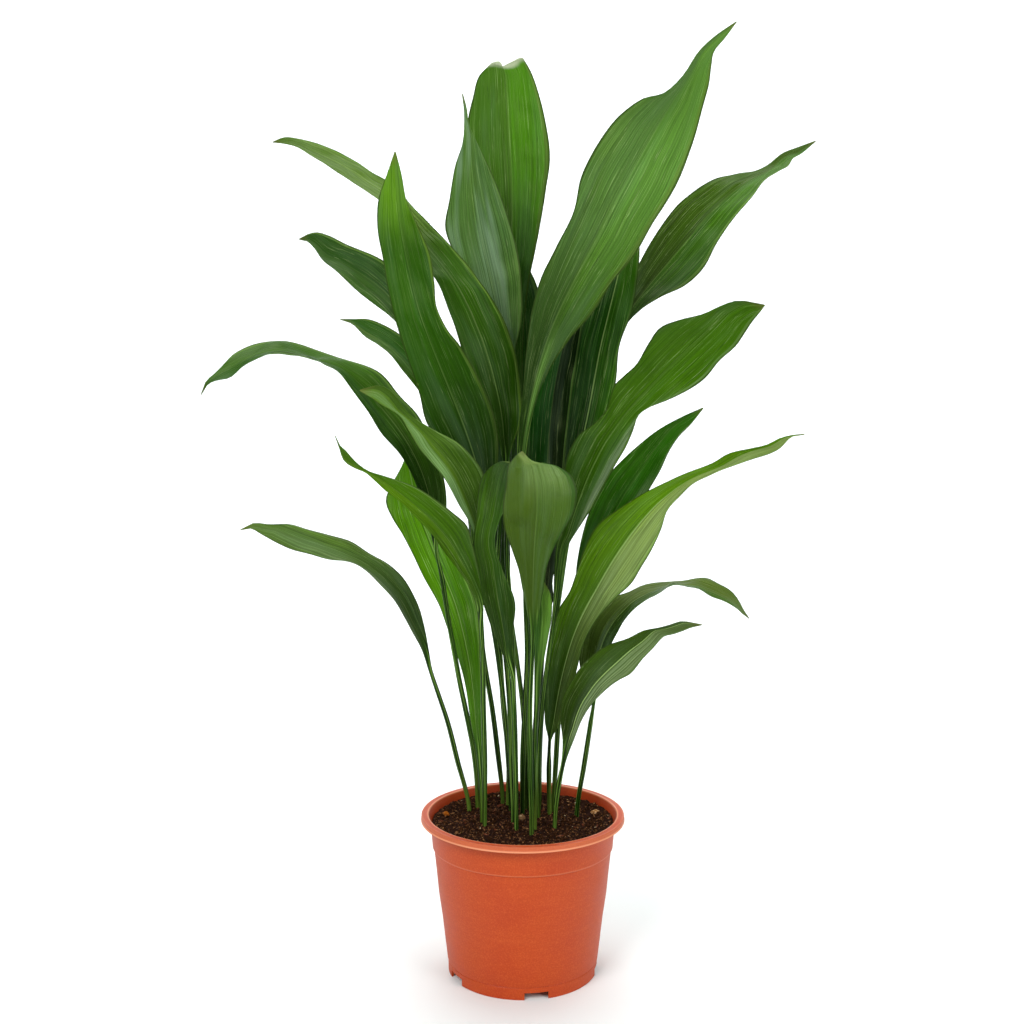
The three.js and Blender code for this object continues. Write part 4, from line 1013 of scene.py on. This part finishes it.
def spun(name, profile, sides):
    """A closed outline of (radius, height) points in mm, turned once round the upright axis."""
    bpy.ops.mesh.primitive_circle_add(vertices=len(profile), radius=1)
    obj = bpy.context.object
    obj.name = obj.data.name = name
    for vertex, (radius, height) in zip(obj.data.vertices, profile):
        vertex.co = (radius * MM, 0, height * MM)
    bpy.ops.object.mode_set(mode="EDIT")
    bpy.ops.mesh.select_all(action="SELECT")
    bpy.ops.mesh.spin(steps=sides, angle=FULL_TURN, center=(0, 0, 0), axis=(0, 0, 1))
    bpy.ops.mesh.select_all(action="SELECT")
    bpy.ops.mesh.remove_doubles(threshold=1e-6)
    bpy.ops.mesh.normals_make_consistent(inside=False)
    bpy.ops.object.mode_set(mode="OBJECT")
    return obj


def rounded(corner, before, after, steps=5):
    """Points on a curve that cuts a corner of the outline, between two points beside it."""
    curve = []
    for i in range(steps + 1):
        t = i / steps
        parts = ((1 - t) ** 2, 2 * t * (1 - t), t**2)
        points = (before, corner, after)
        curve.append(tuple(sum(part * point[k] for part, point in zip(parts, points)) for k in (0, 1)))
    return curve


def lip_profile():
    """The lip's section: under the ledge, round the skirt and its bead, and back over the ledge,
    which has a raised inner edge."""
    out, top, low = LIP_OUTER_RADIUS, LIP_TOP, LIP_BOTTOM
    inner = LIP_INNER_RADIUS
    return [
        (inner - 0.1, top - 3.6),
        *rounded((inner + 0.5, top - WALL), (inner + 0.2, top - 2.6), (inner + 1.5, top - WALL)),
        *rounded((out - WALL, top - WALL), (out - WALL - 0.9, top - WALL), (out - WALL, top - WALL - 0.9)),
        (out - WALL, low + 0.3),
        *rounded((out - WALL / 2, low - 0.25), (out - WALL + 0.1, low + 0.05), (out - 0.2, low + 0.1)),
        *rounded((out + 0.2, low + 0.6), (out, low + 0.2), (out, low + 1.1)),
        (out - 0.35, low + 1.6),
        (out - 0.4, top - 1.7),
        *rounded((out - 0.3, top - 0.3), (out - 0.35, top - 1.3), (out - 1.3, top - 0.25)),
        (out - 2.2, top - 0.3),
        (inner + 2.2, top - 0.25),
        *rounded((inner + 0.4, top + 0.2), (inner + 1.8, top - 0.1), (inner, top - 0.8)),
        (inner - 0.7, top - 2.2),
        (inner - 1.5, top - 4.0),
    ]


def pot_profile():
    """The pot's section, from the foot up the outside, round the lip, down the inside and back
    under the floor."""
    disc, floor, foot = CENTRE_DISC_RADIUS, FLOOR_HEIGHT, FOOT_RADIUS
    outer = [
        (foot - 0.5, 0),
        (foot, 0.6),
        (foot + 0.2, FOOT_HEIGHT - 0.7),
        (foot - 0.1, FOOT_HEIGHT - 0.3),
        (foot - 0.1, FOOT_HEIGHT),
        (foot + 0.6, FOOT_HEIGHT + 0.4),
        (foot + 0.8, FOOT_HEIGHT + 1.2),
        *TAPER,
        (82.9, COLLAR_BOTTOM - 1.8),
        (82.95, COLLAR_BOTTOM - 0.7),
        (83.3, COLLAR_BOTTOM - 0.3),
        (84.1, COLLAR_BOTTOM + 0.1),
        (84.35, COLLAR_BOTTOM + 0.6),
        (84.45, COLLAR_BOTTOM + 1.6),
        (85.9, COLLAR_TOP - 1),
        (86.2, COLLAR_TOP + 0.4),
    ]
    inner = [
        (86 - WALL, COLLAR_TOP),
        (84.2 - WALL, COLLAR_BOTTOM + 1.3),
        (83 - WALL, COLLAR_BOTTOM),
        *((radius - WALL, height) for radius, height in (TAPER[3], TAPER[1], TAPER[0])),
        (foot + 0.5 - WALL, floor + WALL),
    ]
    base = [
        (disc + 5, floor + WALL),
        (disc - 1, WALL),
        (0, WALL),
        (0, 0),
        (disc, 0),
        (disc + 6, floor),
        (foot - WALL - 1, floor),
        (foot - WALL - 0.6, 0.6),
        (foot - WALL - 0.2, 0),
    ]
    return outer + lip_profile() + inner + base


def round_the_pot(count, first_angle, away):
    """Evenly spaced angles, and places in metres at that distance from the axis."""
    for i in range(count):
        angle = first_angle + FULL_TURN / count * i
        yield angle, away * MM * math.cos(angle), away * MM * math.sin(angle)


def pot_cutters():
    """Blocks for the notches in the foot, and plugs for the drain holes."""
    for angle, x, y in round_the_pot(NOTCHES, math.radians(FIRST_NOTCH_ANGLE), FOOT_RADIUS - 2):
        bpy.ops.mesh.primitive_cube_add(size=1, location=(x, y, 0), rotation=(0, 0, angle))
        bpy.context.object.scale = (NOTCH_DEPTH * MM, NOTCH_WIDTH * MM, 2 * NOTCH_HEIGHT * MM)
        yield bpy.context.object
    for _, x, y in round_the_pot(DRAIN_HOLES, 0, DRAIN_CIRCLE_RADIUS):
        bpy.ops.mesh.primitive_cylinder_add(
            vertices=DRAIN_HOLE_SIDES,
            radius=DRAIN_HOLE_RADIUS * MM,
            depth=DRAIN_PLUG_LENGTH * MM,
            location=(x, y, FLOOR_HEIGHT * MM),
        )
        yield bpy.context.object


def make_pot():
    pot = spun("pot_shell", pot_profile(), POT_SIDES)
    for cutter in list(pot_cutters()):
        selected_only(cutter)
        bpy.ops.object.transform_apply(location=True, rotation=True, scale=True)
        selected_only(pot)
        cut = pot.modifiers.new("cut", "BOOLEAN")
        cut.operation = "DIFFERENCE"
        cut.object = cutter
        bpy.ops.object.modifier_apply(modifier="cut")
        bpy.data.objects.remove(cutter)
    merge_doubles(pot)
    shade_by_angle(pot, 35)
    return pot


def moulded_polypropylene():
    """Moulded polypropylene in a terracotta colour: satin, with the fine speckle of its pigment,
    faint rings from the mould and cloudy marks from handling, painted highlights on its edges and
    painted shade on its inner wall."""
    material, add, skin = new_material("moulded_polypropylene_terracotta")
    where = add("TexCoord", out="Object")
    height = add("SeparateXYZ", where, out="Z")
    radius = add("VectorMath", add("VectorMath", where, (1.0, 1.0, 0.0), **TIMES), operation="LENGTH")
    cloud = add("TexNoise", where, per_metre(CLOUD_SIZE), 5.0, 0.6)
    squeezed = add("Mapping", where, (0, 0, 0), (0, 0, 0), (1, 1, RING_LENGTH / RING_HEIGHT))
    rings = add("TexNoise", squeezed, per_metre(RING_LENGTH), 3.0)
    speckle = add("TexNoise", where, per_metre(SPECKLE_SIZE), 2.0)
    base = linear("#b63c04")
    for pattern, low, high, to_low, to_high, colour in (
        (cloud, 0.35, 0.7, 0.0, 1.0, "#be4506"),
        (rings, 0.45, 0.75, 0.0, 0.2, "#cc5a20"),
        (cloud, 0.55, 0.8, 0.0, 0.3, "#a4340c"),
        (speckle, 0.36, 0.5, 0.22, 0.0, "#9c3206"),
        (speckle, 0.52, 0.66, 0.0, 0.22, "#d8682e"),
    ):
        amount = add("MapRange", pattern, low, high, to_low, to_high)
        base = add("Mix", amount, base, linear(colour), **BLEND)

    def where_all(*ranges):
        """How far a place is inside every one of the ranges (value, low, high, to_low, to_high)."""
        shares = [add("MapRange", *each) for each in ranges]
        amount = shares[0]
        for share in shares[1:]:
            amount = add("Math", amount, share, **TIMES)
        return amount

    # painted highlights: the edges that catch the light are painted paler, here by height and radius in
    # metres: the lip's bead, its inner rim and the collar's foot
    bead = where_all(
        (height, 0.1446, 0.1456, 0.0, 1.0),
        (height, 0.1462, 0.147, 1.0, 0.25),
        (radius, 0.0925, 0.0935, 0.0, 1.0),
    )
    rim = where_all((radius, 0.0884, 0.0898, 1.0, 0.0), (height, 0.149, 0.1496, 0.0, 0.9))
    collar = where_all((height, 0.1192, 0.1197, 0.0, 0.25), (height, 0.1203, 0.1212, 1.0, 0.0))
    for edge in (bead, rim, collar):
        base = add("Mix", edge, base, linear("#e29068"), **BLEND)
    # painted shade on the inner wall above the soil, which moist soil has also stained
    slant = add("Math", height, -WALL_LEAN, radius, **TIMES_PLUS)
    inside = where_all((slant, 0.0398, 0.0404, 0.5, 0.0), (height, 0.125, 0.135, 0.0, 1.0))
    base = add("Mix", inside, base, linear("#8c2c08"), **BLEND)
    bump = add("Bump")
    dress(bump.node, {"Height": speckle, "Strength": 0.25, "Distance": 0.0003})
    rough = add("MapRange", cloud, 0.3, 0.7, 0.46, 0.56)
    dress(skin, {
        "Base Color": base, "Roughness": rough, "Normal": bump, "IOR": 1.49, "Specular IOR Level": 0.35,
    })
    return material


place(make_pot(), moulded_polypropylene(), "pot", "pot")


# The soil.

SOIL_TOP = 138
BANK_FROM = 68  # the soil is banked up from this radius to the pot's wall
BANK_HEIGHT = 5.3
SOIL_RIM = 84.2
SOIL_SEGMENTS = 256
SOIL_RINGS = 96
# The body's outline, from the middle of its surface, over the rim, down the wall and in under the
# floor: share of the way, radius and height.
SOIL_OUTLINE = (
    (0.0, 0.0, SOIL_TOP), (0.78, SOIL_RIM, SOIL_TOP), (0.8, 83.2, 130), (0.82, 82.2, 121.0),
    (0.85, 81.0, 119.5), (0.88, 78.4, 94), (0.91, 73.4, 53), (0.94, 68.5, 9.4), (0.97, 34.4, 9.4),
    (0.985, 28.4, 2.0), (1.0, 0.0, 2.0),
)
SURFACE_SHARE = 0.785  # up to here the body is the crumbly surface
# Loose bits: name, how many, seed, shape, least and greatest size, how finely each is cut, and the
# mix: its name, its dark, light and fleck colours, and the size of its grains.
LOOSE_BITS = (
    ("soil_crumbs", 1100, 3, (1, 1, 0.8), (0.7, 2.0), 1,
     ("peat_crumbs", "#140804", "#44260f", "#946844", 2.632)),
    ("peat_fibres", 520, 12, (2.2, 0.6, 0.5), (0.5, 1.1), 1,
     ("sedge_fibre", "#503018", "#8a6440", "#b08c62", 2.0)),
    ("bark_chips", 44, 8, (1.6, 1, 0.45), (1.0, 2.2), 2,
     ("composted_bark", "#3c1c0e", "#74402a", "#94644a", 3.333)),
    ("pale_fibre_specks", 30, 5, (1.3, 0.8, 0.5), (0.5, 1.1), 1,
     ("pale_wood_fibre", "#8a7454", "#c9b898", "#ded2ba", 2.0)),
)
BITS_REACH = 82.5
BODY_MIX = ("moist_peat", "#120703", "#34190c", "#70482c", 2.381)
# Larger lumps: name, place, size and colours
LUMPS = (
    ("resinous_bark", (-73, 20), (3.4, 2.8, 3.0), ("#6c3008", "#b4681c", "#dca068")),
    ("weathered_wood", (70, 27), (5.2, 3.0, 2.6), ("#7c5028", "#b88a58", "#d8b488")),
    ("dry_pine_bark", (-1, 14), (3.6, 3.0, 3.4), ("#5c4028", "#947450", "#bca480")),
)
LUMP_GRAIN = 2.632
FLECK_SPACING = 1 / 1.7  # as a share of the grain
STANDS_OUT = 0.35  # how far a bit's middle lies above the surface, as a share of its height
BIT_KNOBBLES = (0.75, 1.2)  # least and greatest share of the radius that its points lie at
BIT_STRETCH = (0.8, 1.25)  # how much thinner or thicker than its kind one bit may be
BIT_TILT = 0.6  # most tilt or turn off level, in radians
LUMP_TILT = 0.3


def lumpy(x, y):
    """The height in mm of the soil's surface: swells, clods and crumbs, banked up to the wall."""
    swell = np.sin(x / 11 + 1) * np.cos(y / 13) + 0.6 * np.sin((x + 2 * y) / 17)
    clods = np.sin(x / 3.1 + 2 * np.sin(y / 4.3)) * np.sin(y / 2.7 + 1.7 * np.sin(x / 3.9))
    crumbs = np.sin(x / 1.3 + 3 * np.sin(y / 2.1)) * np.sin(y / 1.2 + 2.5 * np.sin(x / 1.7))
    rise = np.clip((np.hypot(x, y) - BANK_FROM) / (SOIL_RIM - BANK_FROM), 0, 1)
    bank = BANK_HEIGHT * rise * rise * (3 - 2 * rise)
    return SOIL_TOP + 0.5 * swell + 0.6 * clods + 0.45 * crumbs + bank


def lying_at(x, y, size):
    """Where the middle of a bit of that height goes, in metres."""
    return (x * MM, y * MM, (float(lumpy(x, y)) + size * STANDS_OUT) * MM)


def make_soil():
    """The soil body: a ball whose upper half is pressed into the crumbly surface and whose
    lower half follows the inside of the pot."""
    bpy.ops.mesh.primitive_uv_sphere_add(segments=SOIL_SEGMENTS, ring_count=SOIL_RINGS, radius=1)
    soil = bpy.context.object
    soil.name = soil.data.name = "soil_surface"
    ball = points_of(soil.data)
    angle = np.arctan2(ball[:, 1], ball[:, 0])
    down = np.arccos(np.clip(ball[:, 2], -1, 1)) / math.pi
    share, radii, heights = zip(*SOIL_OUTLINE)
    radius = np.interp(down, share, radii)
    x, y = radius * np.cos(angle), radius * np.sin(angle)
    height = np.where(down < SURFACE_SHARE, lumpy(x, y), np.interp(down, share, heights))
    move_points(soil.data, np.stack([x, y, height], axis=1))
    selected_only(soil)
    bpy.ops.object.shade_smooth()
    return soil


def scatter(name, count, seed, shape, sizes, fineness):
    """Loose bits on the soil: one bit is modelled, then copied, turned, stretched and dropped at
    drawn places, clear of the pot's wall."""
    draw = random.Random(seed)
    bpy.ops.mesh.primitive_ico_sphere_add(subdivisions=fineness, radius=1)
    first = bpy.context.object
    for vertex in first.data.vertices:
        vertex.co *= draw.uniform(*BIT_KNOBBLES)
    bits = [first]
    while len(bits) < count:
        copy = first.copy()
        copy.data = first.data.copy()
        bpy.context.collection.objects.link(copy)
        bits.append(copy)
    for bit in bits:
        size = draw.uniform(*sizes)
        away = BITS_REACH * math.sqrt(draw.random())
        angle = draw.uniform(0, FULL_TURN)
        bit.location = lying_at(away * math.cos(angle), away * math.sin(angle), size * shape[2])
        tilt = [draw.uniform(-BIT_TILT, BIT_TILT) for _ in range(2)]
        bit.rotation_euler = [*tilt, draw.uniform(0, ANY_TURN)]
        bit.scale = [size * MM * s * draw.uniform(*BIT_STRETCH) for s in shape]
    bpy.ops.object.select_all(action="DESELECT")
    for bit in bits:
        bit.select_set(True)
    bpy.context.view_layer.objects.active = first
    bpy.ops.object.transform_apply(location=True, rotation=True, scale=True)
    bpy.ops.object.join()
    joined = bpy.context.object
    joined.name = joined.data.name = name
    shade_by_angle(joined, 40)
    return joined


def lay_lump(name, at, size, seed):
    """One larger lump of bark or wood that lies on the soil."""
    draw = random.Random(seed)
    bpy.ops.mesh.primitive_ico_sphere_add(subdivisions=4, radius=1)
    lump = bpy.context.object
    lump.name = lump.data.name = name
    for vertex in lump.data.vertices:
        x, y, z = vertex.co
        broad = math.sin(5 * x + seed) * math.sin(4 * y + 2 * z)
        small = math.sin(11 * x + 9 * z + seed) * math.sin(10 * y)
        vertex.co *= 0.92 + 0.16 * broad + 0.1 * small
    lump.scale = [s * MM for s in size]
    tilts = (LUMP_TILT, LUMP_TILT, BIT_TILT)
    lump.rotation_euler = [draw.uniform(-tilt, tilt) for tilt in tilts]
    lump.location = lying_at(*at, size[2])
    selected_only(lump)
    bpy.ops.object.transform_apply(location=True, rotation=True, scale=True)
    shade_by_angle(lump, 40)
    return lump


def potting_mix(name, dark, light, fleck, grain):
    """A part of the potting mix, peat, fibre, bark or wood, milled and moist: matte and granular,
    with painted shade making it nearly black in the hollows of its bumps, and scattered paler
    flecks."""
    material, add, skin = new_material(name)
    where = add("TexCoord", out="Object")
    coarse = add("TexNoise", where, per_metre(grain), 6.0, 0.7)
    cells = add("TexVoronoi", where, per_metre(grain * FLECK_SPACING), out="Color")
    base = add("Mix", add("MapRange", coarse, 0.35, 0.7), linear(dark), linear(light), **BLEND)
    flecks = add("MapRange", add("SeparateColor", cells), 0.86, 0.97, 0.0, 0.7)
    base = add("Mix", flecks, base, linear(fleck), **BLEND)
    bump = add("Bump")
    dress(bump.node, {"Height": coarse, "Strength": 0.9, "Distance": 0.0015})
    dress(skin, {"Base Color": base, "Normal": bump, "Roughness": 1.0, "Specular IOR Level": 0.08})
    return material


place(make_soil(), potting_mix(*BODY_MIX), "soil", "soil")
for name, count, seed, shape, sizes, fineness, mix in LOOSE_BITS:
    place(scatter(name, count, seed, shape, sizes, fineness), potting_mix(*mix), "soil")
for name, at, size, colours in LUMPS:
    lump = lay_lump(name + "_lump", at, size, len(name))
    place(lump, potting_mix(name, *colours, LUMP_GRAIN), "soil")


# Floor, light and camera, in metres.

SWEEP_LENGTH = 9
SWEEP_HALF_WIDTH = 5
SWEEP_START = -2.4  # its front edge
SWEEP_LEVEL = 5.0  # length of its level part
SWEEP_BEND = 1.5  # radius of its bend
# Soft boxes: name, place, where each points, width and height, and watts
LIGHTS = (
    ("key", (-1.2, -2.0, 2.1), (0, 0, 0.5), (1.3, 1.3), 54),
    ("fill", (1.9, -1.9, 1.5), (0, 0, 0.4), (1.3, 1.3), 32),
    ("top", (0.1, 0.3, 2.6), (0, 0, 0.5), (1.8, 1.4), 34),
    ("backdrop", (0, 1.5, 2.9), (0, 4.1, 0.9), (3.0, 0.8), 130),
)
ROOM_LIGHT = 0.2


def make_sweep():
    """A pale studio floor that curves up behind the plant."""
    bpy.ops.mesh.primitive_grid_add(x_subdivisions=8, y_subdivisions=64, size=2)
    sweep = bpy.context.object
    sweep.name = sweep.data.name = "studio_sweep"
    for vertex in sweep.data.vertices:
        run = (vertex.co.y + 1) / 2 * SWEEP_LENGTH
        angle = min(max(run - SWEEP_LEVEL, 0) / SWEEP_BEND, math.pi / 2)
        rise = max(run - SWEEP_LEVEL - SWEEP_BEND * math.pi / 2, 0)
        away = SWEEP_START + min(run, SWEEP_LEVEL) + SWEEP_BEND * math.sin(angle)
        vertex.co = (vertex.co.x * SWEEP_HALF_WIDTH, away, SWEEP_BEND * (1 - math.cos(angle)) + rise)
    sweep.data.update()
    selected_only(sweep)
    bpy.ops.object.shade_smooth()
    # matt white paper off the roll: even, with no sheen
    material, _, skin = new_material("white_backdrop_paper")
    dress(skin, {"Base Color": (0.9, 0.955, 0.95, 1), "Roughness": 0.9, "Specular IOR Level": 0.1})
    sweep.data.materials.append(material)
    sweep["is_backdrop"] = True


def soft_box(name, at, aim, size, power):
    """A soft rectangular light that faces its aim."""
    light = bpy.data.lights.new(name, "AREA")
    light.shape = "RECTANGLE"
    light.size, light.size_y = size
    light.energy = power
    lamp = bpy.data.objects.new(name, light)
    bpy.context.collection.objects.link(lamp)
    lamp.location = at
    lamp.rotation_euler = (Vector(aim) - Vector(at)).to_track_quat("-Z", "Y").to_euler()


def light_room():
    """Dim white light from all sides."""
    world = bpy.data.worlds.new("white_room")
    world.use_nodes = True
    dress(world.node_tree.nodes["Background"], {"Color": (1, 1, 1, 1), "Strength": ROOM_LIGHT})
    bpy.context.scene.world = world
    bpy.context.scene.view_settings.view_transform = "Standard"


def set_camera():
    """The camera stands at the eye that the leaves were laid out for."""
    camera = bpy.data.cameras.new("camera")
    camera.sensor_width = SENSOR_WIDTH
    camera.lens = LENS
    camera.clip_end = 30
    eye = bpy.data.objects.new("camera", camera)
    bpy.context.collection.objects.link(eye)
    eye.location = (EYE_X * MM, -EYE_DISTANCE * MM, EYE_HEIGHT * MM)
    eye.rotation_euler = (math.radians(90 - EYE_TILT), 0, 0)
    bpy.context.scene.camera = eye


make_sweep()
for name, at, aim, size, power in LIGHTS:
    soft_box(name, at, aim, size, power)
light_room()
set_camera()

visual_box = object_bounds()
sizes = {"cad": [list(map(float, c)) for c in cad_box], "visual": [list(map(float, c)) for c in visual_box]}
